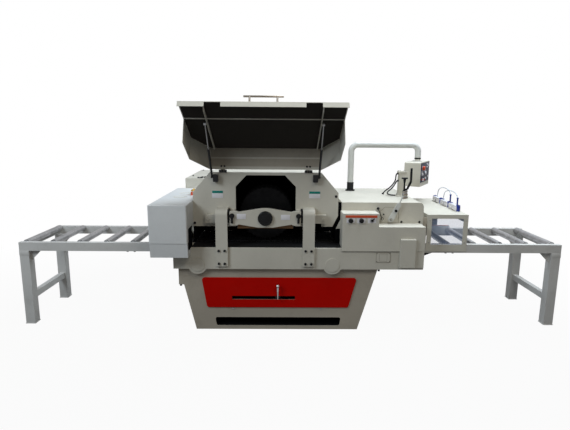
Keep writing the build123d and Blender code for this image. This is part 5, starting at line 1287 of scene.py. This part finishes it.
class SAW_OT_controls(bpy.types.Operator):
    """Strip, squares, seams, screws and knob details on the right side"""
    bl_idname = "saw.controls"
    bl_label = "Controls"
    square_half: size("Square half", "Half the width of the white square behind a knob", 0.037)
    square_rise: size("Square rise", "Half the height of the white square behind a knob", 0.021)
    ticks: repeats("Ticks", "Marks round a regulator knob", 11)
    tick_start: angle("Tick start", "Turn of the first mark", -30.0)
    tick_step: angle("Tick step", "Turn from one mark to the next", 24.0)
    tick_across: size("Tick across", "From a knob's middle to the marks beside it", 0.0265)
    tick_up: size("Tick up", "From a knob's middle to the marks above it", 0.0195)
    tick_half: size("Tick half", "Half a mark's width", 0.0007)
    tick_thick: size("Tick thickness", "Half a mark's thickness", 0.0003)
    flutes: repeats("Flutes", "Flutes round a regulator knob", 18)
    flute_ring: size("Flute ring", "From a knob's middle to its flutes", 0.0185)
    pointer: size("Pointer", "Length of a knob's pointer", 0.016)
    pointer_half: size("Pointer half", "Half a pointer's width", 0.0015)
    seam_half: size("Seam half", "Half the width of a panel's seam", 0.0013)
    seam_thick: size("Seam thickness", "Thickness of a panel's seam", 0.0006)
    rim: size("Rim", "Width of the access plate's edge line", 0.0025)
    rim_inner: size("Inner rim", "Width of the access plate's inner line", 0.0015)
    rim_across: size("Rim across", "From the access plate's sides to its inner line", 0.03)
    rim_up: size("Rim up", "From the access plate's ends to its inner line", 0.01)
    screw: size("Screw", "Width across a housing screw's head", 0.014)
    pin_in: size("Pin inset", "From the access plate's edges to its screws", 0.008)
    nut_in: size("Nut place", "From the link lever's front back to its nut", 0.0155)

    def execute(self, context):
        film = context.scene.saw_sizes.film
        strip, squares, scale = blanks(3)
        patch(strip, STRIP, COVER_FRONT, film, film / 3)
        piece("Cover_strip", strip, "strip")
        for body, joint in COVER_KNOBS.items():
            x, _, z = JOINTS[joint]["pos_m"]
            square = (x - self.square_half, x + self.square_half, z - self.square_rise, z + self.square_rise)
            patch(squares, square, COVER_FRONT, CLEAR)
            if body == "switch_lever":
                ring(scale, (x, COVER_FRONT - 4 * CLEAR, z), FRONTWARD, *SWITCH_RING)
            else:
                self.regulator(scale, body, x, z)
        piece("Cover_squares", squares, "white")
        piece("Cover_scales", scale, "black")

        seams, screws = blanks(2)
        for (xa, za), (xb, zb) in zip(PANEL_SEAM, PANEL_SEAM[1:]):
            side = Vector((za - zb, 0, xb - xa)).normalized() * self.seam_half
            a, b = Vector((xa, PANEL_FACE, za)), Vector((xb, PANEL_FACE, zb))
            plate(seams, [a - side, b - side, b + side, a + side], FRONTWARD * self.seam_thick)
        x0, x1, z0, z1 = ACCESS
        across, up, inset = self.rim_across, self.rim_up, self.pin_in
        frame_line(seams, ACCESS, ACCESS_FRONT, self.rim)
        frame_line(seams, (x0 + across, x1 - across, z0 + up, z1 - up), ACCESS_FRONT, self.rim_inner)
        piece("Panel_seams", seams, "grime")
        for x, z in HOUSING_SCREWS:
            hex_bolt(screws, (x, 0.0, z), FRONTWARD, self.screw)
        for x, z in corners(x0 + inset, x1 - inset, z0 + inset, z1 - inset):
            puck(screws, (x, ACCESS_FRONT, z), FRONTWARD, *ACCESS_PIN, 2 * CLEAR, 16)
        piece("Housing_screws", screws, "black")

        link = bmesh.new()
        x, _, z = JOINTS["link_lever_turn"]["pos_m"]
        nut = (x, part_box("link_lever")[0].y + self.nut_in, z)
        puck(link, LINK_KNOB, FRONTWARD, *LINK_GRIP, BROAD, 32)
        puck(link, nut, FRONTWARD, *LINK_NUT, FINE, HEX)
        piece("Link_knob", link, "plastic", "link_lever")
        return {"FINISHED"}

    def regulator(self, scale, body, x, z):
        """The marks round a regulator knob, and the knob's flutes and pointer."""
        reach = Vector((self.tick_half, self.tick_thick, self.tick_half))
        for index in range(self.ticks):
            a = self.tick_start + self.tick_step * index
            spot = Vector((x + self.tick_across * cos(a), COVER_FRONT - 2 * CLEAR, z + self.tick_up * sin(a)))
            slab(scale, spot - reach, spot + reach)
        grip, front = bmesh.new(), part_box(body)[0].y
        foot = Vector((x, COVER_FRONT - FINE, z))
        for spoke in spokes(self.flutes):
            puck(grip, foot + spoke * self.flute_ring, FRONTWARD, *KNOB_FLUTE, 4 * CLEAR, 10)
        slab(grip, (x - self.pointer_half, front - 4 * CLEAR, z),
             (x + self.pointer_half, front + FINE, z + self.pointer), 2 * CLEAR)
        piece(f"{body}_grip", grip, "plastic", body)


class SAW_OT_lift(bpy.types.Operator):
    """The lift cylinder's column, the valves beside it and its black hoses"""
    bl_idname = "saw.lift"
    bl_label = "Lift cylinder"
    half: size("Half width", "Half the column's width", 0.037)
    flat_half: size("Flat half", "Half the width of one of the column's flats", 0.031)
    flat_round: size("Flat rounding", "Rounding of the column's flats", 0.008)
    flat_start: size("Flat start", "From the roof up to the column's flats", 0.02)
    cap: size("Cap", "Half the height of the column's caps", 0.012)
    cap_out: size("Cap out", "How far the caps stand out of the column", 0.004)
    rod_out: size("Rod place", "From the column's middle to a corner rod, each way", 0.028)
    rod_r: size("Rod radius", "Radius of a corner rod", 0.007)
    foot_half: size("Foot half", "Half the width of the column's foot", 0.06)
    foot_deep: size("Foot depth", "Half the depth of the column's foot", 0.055)
    foot: size("Foot", "Thickness of the column's foot", 0.008)
    hose_r: size("Hose radius", "Radius of a hose", 0.0065)
    fitting_in: size("Fitting sunk", "How deep a hose's fitting sits in the column", 0.004)
    port_up: size("Port height", "From the roof up to a valve's side port", 0.040)
    port_nut_out: size("Port nut place", "From a valve's middle to its side port's nut", 0.024)
    low_nut_out: size("Low nut out", "How far a valve's low nut stands out", 0.007)
    low_nut: size("Low nut", "Height of a valve's low nut and place of its high one", 0.016)
    high_nut: size("High nut", "Height of a valve's high nut", 0.013)
    tee_top: size("Tee top", "Middle of the T-handle's bar", 1.394)
    tee_hub: size("Tee hub", "Height of the T-handle's hub", 0.046)
    tee_foot_r: size("Tee foot radius", "Radius of the T-handle's hub at its foot", 0.0086)
    tee_head_r: size("Tee head radius", "Radius of the T-handle's hub at its bar", 0.016)

    def execute(self, context):
        x, y, top = LIFT
        half, flat, wide = self.half, self.flat_half, self.half + self.cap_out
        start, end, tall = RIGHT_ROOF + self.flat_start, top - self.cap, 2 * self.cap
        reach = self.rod_out
        rods = corners(x - reach, x + reach, y - reach, y + reach)
        column, nuts = blanks(2)
        for rod in rods:
            puck(column, (*rod, RIGHT_ROOF), Z_AXIS, self.rod_r, end - RIGHT_ROOF, 0.0, 20)
        for across, deep in ((flat, half), (half, flat)):
            slab(column, (x - across, y - deep, start), (x + across, y + deep, end), self.flat_round)
        for low in (RIGHT_ROOF, top - tall):
            slab(column, (x - wide, y - wide, low), (x + wide, y + wide, low + tall), BROAD)
        slab(column, (x - self.foot_half, y - self.foot_deep, RIGHT_ROOF),
             (x + self.foot_half, y + self.foot_deep, RIGHT_ROOF + self.foot), SOFT)
        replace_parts(piece("Lift_column", column, "cream"), "lift_cylinder")
        for rod in rods:
            puck(nuts, (*rod, top - HAIR), Z_AXIS, *ROD_NUT, FINE, HEX)
        origin = Vector((x - half, y, RIGHT_ROOF))
        routes = [[origin + Vector(point) for point in points] for points in HOSES]
        for route in routes:
            puck(nuts, route[0] + X_AXIS * self.fitting_in, -X_AXIS, *HOSE_FITTING, FINE, HEX)
        puck(nuts, routes[0][-1] - Z_AXIS * BROAD, Z_AXIS, *HOSE_ELBOW, FINE, HEX)
        piece("Lift_fittings", nuts, "iron")
        self.valves()
        for index, route in enumerate(routes):
            hose(f"Lift_hose_{index + 1}", route, self.hose_r, "rubber")
        return {"FINISHED"}

    def valves(self):
        """Bodies, nuts and side ports under the T-handle and the hand valve, and the T-handle's hub."""
        bodies, nuts, hub = blanks(3)
        roof, port = RIGHT_ROOF, RIGHT_ROOF + self.port_up
        for joint, radius, top in VALVES:
            x, y, _ = JOINTS[joint]["pos_m"]
            puck(bodies, (x, y, roof), Z_AXIS, radius, top - roof, SOFT)
            puck(bodies, (x, y, port), FRONTWARD, *SIDE_PORT, SOFT, 20)
            puck(nuts, (x, y, roof), Z_AXIS, radius + self.low_nut_out, self.low_nut, SOFT, HEX)
            puck(nuts, (x, y, top - self.low_nut), Z_AXIS, radius + BROAD, self.high_nut, SOFT, HEX)
            puck(nuts, (x, y - self.port_nut_out, port), FRONTWARD, *PORT_NUT, FINE, HEX)
        piece("Valve_bodies", bodies, "steel")
        piece("Valve_nuts", nuts, "handle")
        x, y, _ = JOINTS["t_handle_turn"]["pos_m"]
        foot = (x, y, self.tee_top - self.tee_hub)
        puck(hub, foot, Z_AXIS, self.tee_foot_r, self.tee_hub, 0.0, 32, self.tee_head_r)
        piece("T_handle_hub", hub, "plastic", "t_handle")


class SAW_OT_pendant(bpy.types.Operator):
    """The pendant's face film, bezels, lamps, collar and screws, and its post's bolts"""
    bl_idname = "saw.pendant"
    bl_label = "Pendant"
    deep: size("Depth", "Depth of the box", 0.171)
    wide: size("Width", "Width of the box", 0.400)
    film: size("Film", "Thickness of the blue face", 0.0012)
    film_width: size("Film width", "Width of the blue face", 0.384)
    film_height: size("Film height", "Height of the blue face", 0.204)
    film_up: size("Film place", "From the box's middle up to the blue face's", 0.016)
    film_round: size("Film rounding", "Radius of the blue face's corners", 0.006)
    bezel_out: size("Bezel out", "From a button's edge to its bezel's wire", 0.004)
    bezel_wire: size("Bezel wire", "Radius of a bezel's wire", 0.0022)
    lamp: size("Lamp", "Height of a lamp", 0.007)
    collar_up: size("Collar place", "From the box's top up to its collar", 0.024)
    screw_in: size("Screw inset", "From the box's sides to its screws", 0.010)
    screw_up: size("Screw place", "From the box's middle up or down to its screws", 0.120)
    stop_out: size("Stop place", "From the box's face to the emergency stop's cap", 0.0105)
    stop: size("Stop", "Height of the emergency stop's cap", 0.016)
    stop_round: size("Stop rounding", "Rounding of the emergency stop's cap", 0.005)
    post_ring: size("Post ring", "From the post's middle to its bolts", 0.043)
    post_foot: size("Post foot", "Height of the post's foot, and from its top down to its band", 0.012)
    post_bolt: size("Post bolt", "Width across the head of a post's bolt", 0.008)

    def execute(self, context):
        x, y, _ = JOINTS["pendant_box_turn"]["pos_m"]
        middle = (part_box("pendant_box")[0].z + PENDANT_TOP) / 2
        normal = -Vector(JOINTS["estop_press"]["axis"])
        across = Z_AXIS.cross(normal).normalized()
        centre = Vector((x, y, middle)) + normal * self.deep / 2

        def spot(a, u, out=0.0):
            return centre + across * a + Z_AXIS * u + normal * out

        film, under = bmesh.new(), CLEAR / 2
        outline = rounded_outline(self.film_width, self.film_height, self.film_round)
        plate(film, [spot(a, u + self.film_up, under) for a, u in outline], normal * self.film, 1.5 * CLEAR)
        piece("Pendant_film", film, "panel_blue", "pendant_box")
        rim, pale, warm = blanks(3)
        for a, u, r in PENDANT_BUTTONS:
            ring(rim, spot(a, u, SOFT), normal, r + self.bezel_out, self.bezel_wire)
        for a, u, r in PENDANT_LAMPS:
            puck(rim, spot(a, u, FINE), normal, r + BROAD, BROAD, 4 * CLEAR)
            puck(pale, spot(a, u, FINE), normal, r, self.lamp, BROAD)
        for a, u, w, h in PENDANT_PLATES:
            turns = ((-1, -1), (1, -1), (1, 1), (-1, 1))
            loop = [spot(a + i * w / 2, u + j * h / 2, self.film + under) for i, j in turns]
            plate(pale, loop, normal * 3 * CLEAR)
        piece("Pendant_bezels", rim, "steel", "pendant_box")
        piece("Pendant_lamps", pale, "white", "pendant_box")
        for a, u, r in PENDANT_WARM:
            puck(warm, spot(a, u, FINE), normal, r, self.lamp, BROAD)
        piece("Pendant_warm_lamps", warm, "red", "pendant_box")
        collar, flange, screws, cap = blanks(4)
        puck(collar, (x, y, PENDANT_TOP + self.collar_up), Z_AXIS, *PENDANT_COLLAR, SOFT)
        piece("Pendant_collar", collar, "plastic", "pendant_box")
        puck(flange, (x, y, PENDANT_TOP), Z_AXIS, *PENDANT_FLANGE, SOFT)
        piece("Pendant_flange", flange, "table", "pendant_box")
        side = self.wide / 2 - self.screw_in
        for a, u in corners(-side, side, -self.screw_up, self.screw_up):
            puck(screws, spot(a, u), normal, *PENDANT_PIN, HAIR, 16)
        piece("Pendant_screws", screws, "steel", "pendant_box")
        a, u, r = PENDANT_BUTTONS[0]
        puck(cap, spot(a, u, self.stop_out), normal, r + FINE, self.stop, self.stop_round)
        piece("Estop_cap", cap, "red", "estop_button")
        self.post_bolts()
        return {"FINISHED"}

    def post_bolts(self):
        """Bolts round the post's foot and the band under its top."""
        bolts = bmesh.new()
        x, y, _ = JOINTS["pendant_arm_swing"]["pos_m"]
        foot = RIGHT_ROOF + self.post_foot
        for index in range(4):
            a = pi / 4 + index * pi / 2
            spot = (x + self.post_ring * cos(a), y + self.post_ring * sin(a), foot)
            hex_bolt(bolts, spot, Z_AXIS, self.post_bolt)
        ring(bolts, (x, y, POST_TOP - self.post_foot), Z_AXIS, *POST_BAND)
        piece("Post_bolts", bolts, "black")


class SAW_OT_air_units(bpy.types.Operator):
    """Air units on the guard: white bodies, blue cheeks and clear hoses"""
    bl_idname = "saw.air_units"
    bl_label = "Air units"
    length: size("Length", "Length of one unit", 0.205)
    width: size("Width", "Width of one body", 0.046)
    height: size("Height", "Height of one cheek", 0.062)
    body_start: size("Body start", "From the guard up to a body's underside", 0.004)
    sunk: size("Sunk", "How deep a hose sits in its post, and the post in its cheek", 0.004)
    body_top: size("Body top", "From the guard up to a body's lid", 0.05)
    lid: size("Lid", "Thickness of a body's lid", 0.006)
    cheek: size("Cheek", "Thickness of one cheek", 0.016)
    cheek_half: size("Cheek half", "Half the width of one cheek", 0.018)
    cheek_step: size("Cheek step", "From a cheek's top down to the white block in it", 0.01)
    post_r: size("Post radius", "Radius of a hose's post", 0.0075)
    collar_drop: size("Collar drop", "From a post's top down to its collar's foot", 0.016)
    hose_r: size("Hose radius", "Radius of a clear hose", 0.004)
    hose_sink: size("Hose sink", "From the units' top to a hose's peak, and from a cheek to its end", 0.006)
    loop_shift: size("Loop shift", "From the row's middle to a clear hose", 0.010)

    def execute(self, context):
        low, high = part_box("air_units")
        x, roof = (low.x + high.x) / 2, low.z
        half, lid_half, cheek = self.width / 2, self.width / 2 + SOFT, self.cheek
        lid, top = roof + self.body_top, roof + self.height
        bodies, cheeks, fittings = blanks(3)
        for y in AIR_UNITS:
            y0, y1 = y - self.length / 2, y + self.length / 2
            slab(bodies, (x - half, y0 + cheek, roof + self.body_start),
                 (x + half, y1 - cheek, lid), 2 * SOFT)
            for row in PORT_ROWS:
                for side in SIDES:
                    port = (x + side * half, y, roof + row)
                    puck(fittings, port, X_AXIS * side, *AIR_PORT, FINE, 20)
            slab(bodies, (x - lid_half, y0 + cheek, lid), (x + lid_half, y1 - cheek, lid + self.lid), SOFT)
            for start in (y0, y1 - cheek):
                end, step = start + cheek, top - self.cheek_step
                slab(cheeks, (x - self.cheek_half, start, roof), (x + self.cheek_half, end, top), 2 * SOFT)
                slab(bodies, (x - half, start + SOFT, roof), (x + half, end - SOFT, step), BROAD)
                puck(fittings, (x, start + cheek / 2, top), Z_AXIS, *AIR_STUD, FINE, HEX)
        routes = []
        post_top, peak = top + AIR_POST, high.z - self.hose_sink
        for shift, first, second in zip(SIDES, AIR_UNITS, AIR_UNITS[1:]):
            side = x + shift * self.loop_shift
            y0, y1 = first - self.length / 2 + cheek / 2, second + self.length / 4
            puck(cheeks, (side, y0, top - self.sunk), Z_AXIS, self.post_r, AIR_POST + SOFT, SOFT, 24)
            foot = (side, y0, post_top - self.collar_drop)
            puck(cheeks, foot, Z_AXIS, *AIR_COLLAR, SOFT, 24)
            bends = [(y0, post_top - self.sunk), (y0 + HOSE_RISE, peak - self.hose_sink)]
            bends.append(((y0 + y1) / 2, peak + self.hose_sink))
            bends.extend((y1 - run, peak - drop) for run, drop in HOSE_FALL)
            bends.append((y1, top - self.hose_sink))
            routes.append([(side, y, z) for y, z in bends])
        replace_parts(piece("Air_cheeks", cheeks, "blue"), "air_units")
        piece("Air_bodies", bodies, "white")
        piece("Air_fittings", fittings, "steel")
        for index, route in enumerate(routes):
            hose(f"Air_hose_{index + 1}", route, self.hose_r, "clear")
        return {"FINISHED"}


class SAW_OT_guard(bpy.types.Operator):
    """Window pane, fence, screws, a darker strip of painted shade between cover and guard, and end bracket of the
    outfeed guard
    """
    bl_idname = "saw.guard"
    bl_label = "Outfeed guard"
    pane_in: size("Pane place", "From the guard's front to the pane's back", 0.0092)
    pane_over: size("Pane overlap", "How far the pane reaches past the window's sides and top", 0.008)
    pane_under: size("Pane foot", "How far the pane reaches under the window", 0.006)
    fence: size("Fence", "Thickness of the fence", 0.004)
    fence_in: size("Fence start", "From the guard's left side to the fence", 0.006)
    trim_out: size("Trim out", "How far the fence's trim stands before its back", 0.005)
    screw_out: size("Screw place", "From the window's sides out and from its ends in to a screw", 0.02)
    gap_shade_front: size("Seal front", "Front face of the strip between cover and guard", 0.010)
    gap_shade_top: size("Seal top", "Top of the strip between cover and guard", 1.06)
    bracket_reach: size("Bracket reach", "How far the bed's end bracket runs under the guard", 0.073)
    bracket_back: size("Bracket back", "Back face of the bed's end bracket", 0.1)
    bracket_deep: size("Bracket depth", "Depth of the bed's end bracket", 0.08)
    bracket_root: size("Bracket root", "Height of that bracket at the bed", 0.07)
    bracket_tip: size("Bracket tip", "Height of that bracket at its tip", 0.02)

    def execute(self, context):
        sheet = context.scene.saw_sizes.sheet
        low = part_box("outfeed_guard")[0]
        x0, x1, z0, z1 = GUARD_WINDOW
        over, away = self.pane_over, self.screw_out
        pane, fence, trim, screws = blanks(4)
        window = (x0 - over, x1 + over, z0 - self.pane_under, z1 + over)
        patch(pane, window, low.y + self.pane_in, BROAD, HAIR)
        piece("Guard_pane", pane, "pane")
        start, foot = low.x + self.fence_in, FENCE_END[0][1]
        end, top = FENCE_END[-1]
        outline = [(start, foot), *FENCE_END, (start, top)]
        plate(fence, [(x, FENCE_Y, z) for x, z in outline], FRONTWARD * self.fence, FINE)
        slab(trim, (start, FENCE_Y - self.trim_out, top),
             (end - FINE, FENCE_Y + FINE, top + BROAD), 4 * CLEAR)
        # Paler paint on the fence: painted light against the guard's shade
        piece("Outfeed_fence", fence, "pale")
        piece("Fence_edge", trim, "strip")
        for x, z in corners(x0 - away, x1 + away, z0 + away, z1 - away):
            puck(screws, (x, low.y, z), FRONTWARD, *GUARD_PIN, 3 * CLEAR, 20)
        piece("Guard_screws", screws, "steel")
        # A darker strip in the gap between the control cover and the guard: painted shade
        gap_shade, bracket = blanks(2)
        cover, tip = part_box("control_cover")[1].x, low.x + self.bracket_reach
        patch(gap_shade, (cover + FINE, low.x - HAIR, low.z, self.gap_shade_top), self.gap_shade_front + sheet, sheet, FINE)
        piece("Guard_seal", gap_shade, "base")
        outline = [(cover, 0.0), (tip, 0.0), (tip, -self.bracket_tip), (cover, -self.bracket_root)]
        plate(bracket, [(x, self.bracket_back, low.z + up) for x, up in outline],
              FRONTWARD * self.bracket_deep, SOFT)
        piece("Bed_end_bracket", bracket, "iron")
        return {"FINISHED"}


class SAW_OT_tables(bpy.types.Operator):
    """Leg sleeves, foot pads, rail bolts and roller end caps, and the step's bolts"""
    bl_idname = "saw.tables"
    bl_label = "Roller tables"
    leg: size("Leg", "Width of a leg", 0.087)
    rail: size("Rail", "Underside of the rails", 0.720)
    sleeve: size("Sleeve", "Height of the sleeve round a leg's top", 0.045)
    sleeve_out: size("Sleeve out", "Thickness of the sleeve round a leg's top", 0.0012)
    pad: size("Pad", "Height of a foot pad", 0.007)
    pad_out: size("Pad out", "How far a foot pad stands out of its leg", 0.004)
    bolt: size("Bolt", "Width across a rail bolt's head", 0.019)
    bolt_in: size("Bolt inset", "From a table's sides to its rail bolts", 0.025)
    cap_in: size("Cap inset", "From a roller's edge in to its outer ring", 0.004)
    cap_wire: size("Cap wire", "Radius of the outer ring's wire", 0.0022)
    step_in: size("Step place", "From the bed's front back to the step's bolts", 0.065)

    def execute(self, context):
        sleeves, pads, bolts = blanks(3)
        out, far = self.pad_out, self.leg + self.pad_out
        for side in ("left", "right"):
            low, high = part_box(f"{side}_table")
            x0 = low.x if side == "left" else high.x - self.leg
            for y0 in (low.y, high.y - self.leg):
                self.leg_sleeve(sleeves, x0, y0)
                slab(pads, (x0 - out, y0 - out, 0.0), (x0 + far, y0 + far, self.pad), SOFT)
            for spot in corners(*RAIL_BOLTS[side], low.y + self.bolt_in, high.y - self.bolt_in):
                hex_bolt(bolts, (*spot, self.rail), -Z_AXIS, self.bolt)
            for index in range(1, 6):
                self.roller_caps(f"{side}_roller_{index}")
        for x, z in STEP_BOLTS:
            foot = (x, BED_FRONT + self.step_in, z)
            puck(bolts, foot, -Z_AXIS, *STEP_STUD, FINE, 20)
            puck(bolts, foot, -Z_AXIS, *STEP_NUT, FINE, HEX)
        piece("Leg_sleeves", sleeves, "table")
        piece("Foot_pads", pads, "table")
        piece("Rail_bolts", bolts, "black")
        return {"FINISHED"}

    def leg_sleeve(self, bm, x0, y0):
        """A thin collar round a leg's top."""
        x1, y1, z0, z1 = x0 + self.leg, y0 + self.leg, self.rail - self.sleeve, self.rail
        left, right = x0 - self.sleeve_out, x1 + self.sleeve_out
        slab(bm, (left, y0 - self.sleeve_out, z0), (right, y0, z1), HAIR)
        slab(bm, (left, y1, z0), (right, y1 + self.sleeve_out, z1), HAIR)
        slab(bm, (left, y0, z0), (x0, y1, z1))
        slab(bm, (x1, y0, z0), (right, y1, z1))

    def roller_caps(self, name):
        """Two rings on each end of a roller."""
        low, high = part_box(name)
        x, z, radius = (low.x + high.x) / 2, (low.z + high.z) / 2, (high.z - low.z) / 2
        caps = bmesh.new()
        for y, axis in ((low.y, FRONTWARD), (high.y, Y_AXIS)):
            ring(caps, (x, y, z), axis, radius - self.cap_in, self.cap_wire)
            ring(caps, (x, y, z), axis, *ROLLER_HUB)
        piece(f"{name}_caps", caps, "black", name)


class SAW_OT_stage(bpy.types.Operator):
    """Floor, light and camera"""
    bl_idname = "saw.stage"
    bl_label = "Stage"

    def execute(self, context):
        scene, stage = context.scene, context.scene.saw_stage
        ground = bmesh.new()
        bmesh.ops.create_grid(ground, x_segments=1, y_segments=1, size=FLOOR_HALF)
        mesh = bpy.data.meshes.new("Floor")
        ground.to_mesh(mesh)
        ground.free()
        floor = bpy.data.objects.new("Floor", mesh)
        scene.collection.objects.link(floor)
        mesh.materials.append(self.pale_floor())
        scene.camera = self.camera(stage)
        scene.world = self.room(stage.ambient)
        self.lamp("Top_lamp", *TOP_LAMP, stage.top_light, stage.cool)
        self.lamp("Side_lamp", *SIDE_LAMP, stage.side_light, stage.cool)
        self.lamp("Front_lamp", *FRONT_LAMP, stage.front_light, stage.warm)
        scene.view_settings.view_transform = "Standard"
        return {"FINISHED"}

    def camera(self, stage):
        """The camera, turned by its yaw and pitch and then rolled about its view."""
        data = bpy.data.cameras.new("Camera")
        data.sensor_width = SENSOR
        data.lens = stage.focal / IMAGE_WIDTH * SENSOR
        level = cos(stage.pitch)
        forward = Vector((sin(stage.yaw) * level, cos(stage.yaw) * level, -sin(stage.pitch)))
        right = Vector((cos(stage.yaw), -sin(stage.yaw), 0))
        up = right.cross(forward)
        side = cos(stage.roll) * right + sin(stage.roll) * up
        top = -sin(stage.roll) * right + cos(stage.roll) * up
        turn = Matrix((side, top, -forward)).transposed().to_4x4()
        made = bpy.data.objects.new("Camera", data)
        made.matrix_world = Matrix.Translation(Vector(stage.place)) @ turn
        bpy.context.scene.collection.objects.link(made)
        return made

    def pale_floor(self):
        """White for the camera, with the object's soft shadow."""
        material = bpy.data.materials.new("Pale floor")
        material.use_nodes = True
        tree = material.node_tree
        shader = tree.nodes["Principled BSDF"]
        shader.inputs["Base Color"].default_value = FLOOR_COLOUR
        shader.inputs["Roughness"].default_value = FLOOR_DULL
        glow = tree.nodes.new("ShaderNodeEmission")
        glow.inputs["Color"].default_value = WHITE
        away = tree.nodes.new("ShaderNodeVectorMath")
        away.operation = "LENGTH"
        tree.links.new(object_space(tree), away.inputs[0])
        pale = spread(tree, away.outputs["Value"], *SHADOW_REACH, SHADOW_PALE, 1.0)
        share = maths(tree, "MULTIPLY", self.seen(tree), pale)
        blend_shaders(tree, share, shader.outputs["BSDF"], glow.outputs["Emission"], "Material Output")
        return material

    def room(self, strength):
        """A white room: full white where it is seen, softer as light."""
        world = bpy.data.worlds.new("Room")
        world.use_nodes = True
        tree = world.node_tree
        light = tree.nodes["Background"]
        light.inputs["Color"].default_value = ROOM_COLOUR
        light.inputs["Strength"].default_value = strength
        white = tree.nodes.new("ShaderNodeBackground")
        white.inputs["Color"].default_value = WHITE
        ends = (light.outputs["Background"], white.outputs["Background"])
        blend_shaders(tree, self.seen(tree), *ends, "World Output")
        return world

    def seen(self, tree):
        """How far a ray sees plain white: fully from the camera, in part from a mirror."""
        path = tree.nodes.new("ShaderNodeLightPath")
        straight = maths(tree, "MAXIMUM", path.outputs["Is Camera Ray"], path.outputs["Is Transmission Ray"])
        mirrored = maths(tree, "MULTIPLY", path.outputs["Is Glossy Ray"], MIRRORED)
        return maths(tree, "MAXIMUM", straight, mirrored)

    def lamp(self, name, place, aim, width, watts, colour):
        """A square soft lamp."""
        data = bpy.data.lights.new(name, "AREA")
        data.energy = watts
        data.color = colour
        data.size = width
        made = bpy.data.objects.new(name, data)
        made.location = place
        made.rotation_euler = (Vector(aim) - Vector(place)).to_track_quat("-Z", "Y").to_euler()
        bpy.context.scene.collection.objects.link(made)


class SAW_PT_panel(bpy.types.Panel):
    """Lists the steps of the dressing"""
    bl_label = "Multi-Rip Saw"
    bl_idname = "SAW_PT_panel"
    bl_space_type = "VIEW_3D"
    bl_region_type = "UI"
    bl_category = "Saw"

    def draw(self, context):
        for step in STEPS:
            self.layout.operator(step.bl_idname)


GROUPS = (SawFinish, SawSizes, SawStage)
STEPS = (
    SAW_OT_finishes, SAW_OT_paint, SAW_OT_hood, SAW_OT_shade_linings, SAW_OT_track, SAW_OT_plates, SAW_OT_arm,
    SAW_OT_left, SAW_OT_base, SAW_OT_back, SAW_OT_controls, SAW_OT_lift, SAW_OT_pendant, SAW_OT_air_units,
    SAW_OT_guard, SAW_OT_tables, SAW_OT_stage,
)


def register():
    """Register the classes and give the scene its settings."""
    for item in (*GROUPS, *STEPS, SAW_PT_panel):
        bpy.utils.register_class(item)
    bpy.types.Scene.saw_finish = bpy.props.PointerProperty(type=SawFinish)
    bpy.types.Scene.saw_sizes = bpy.props.PointerProperty(type=SawSizes)
    bpy.types.Scene.saw_stage = bpy.props.PointerProperty(type=SawStage)


def unregister():
    """Take the settings and the classes away again."""
    del bpy.types.Scene.saw_finish
    del bpy.types.Scene.saw_sizes
    del bpy.types.Scene.saw_stage
    for item in reversed((*GROUPS, *STEPS, SAW_PT_panel)):
        bpy.utils.unregister_class(item)


def main():
    """Dress the saw step by step."""
    register()
    bpy.ops.saw.finishes()
    bpy.ops.saw.paint()
    bpy.ops.saw.hood()
    # Black sheets of painted shade in the chamber, at the infeed and in the base
    bpy.ops.saw.linings()
    bpy.ops.saw.track()
    bpy.ops.saw.plates()
    bpy.ops.saw.arm()
    bpy.ops.saw.left()
    bpy.ops.saw.base()
    bpy.ops.saw.back()
    bpy.ops.saw.controls()
    bpy.ops.saw.lift()
    bpy.ops.saw.pendant()
    bpy.ops.saw.air_units()
    bpy.ops.saw.guard()
    bpy.ops.saw.tables()
    bpy.ops.saw.stage()


if __name__ == "__main__":
    main()
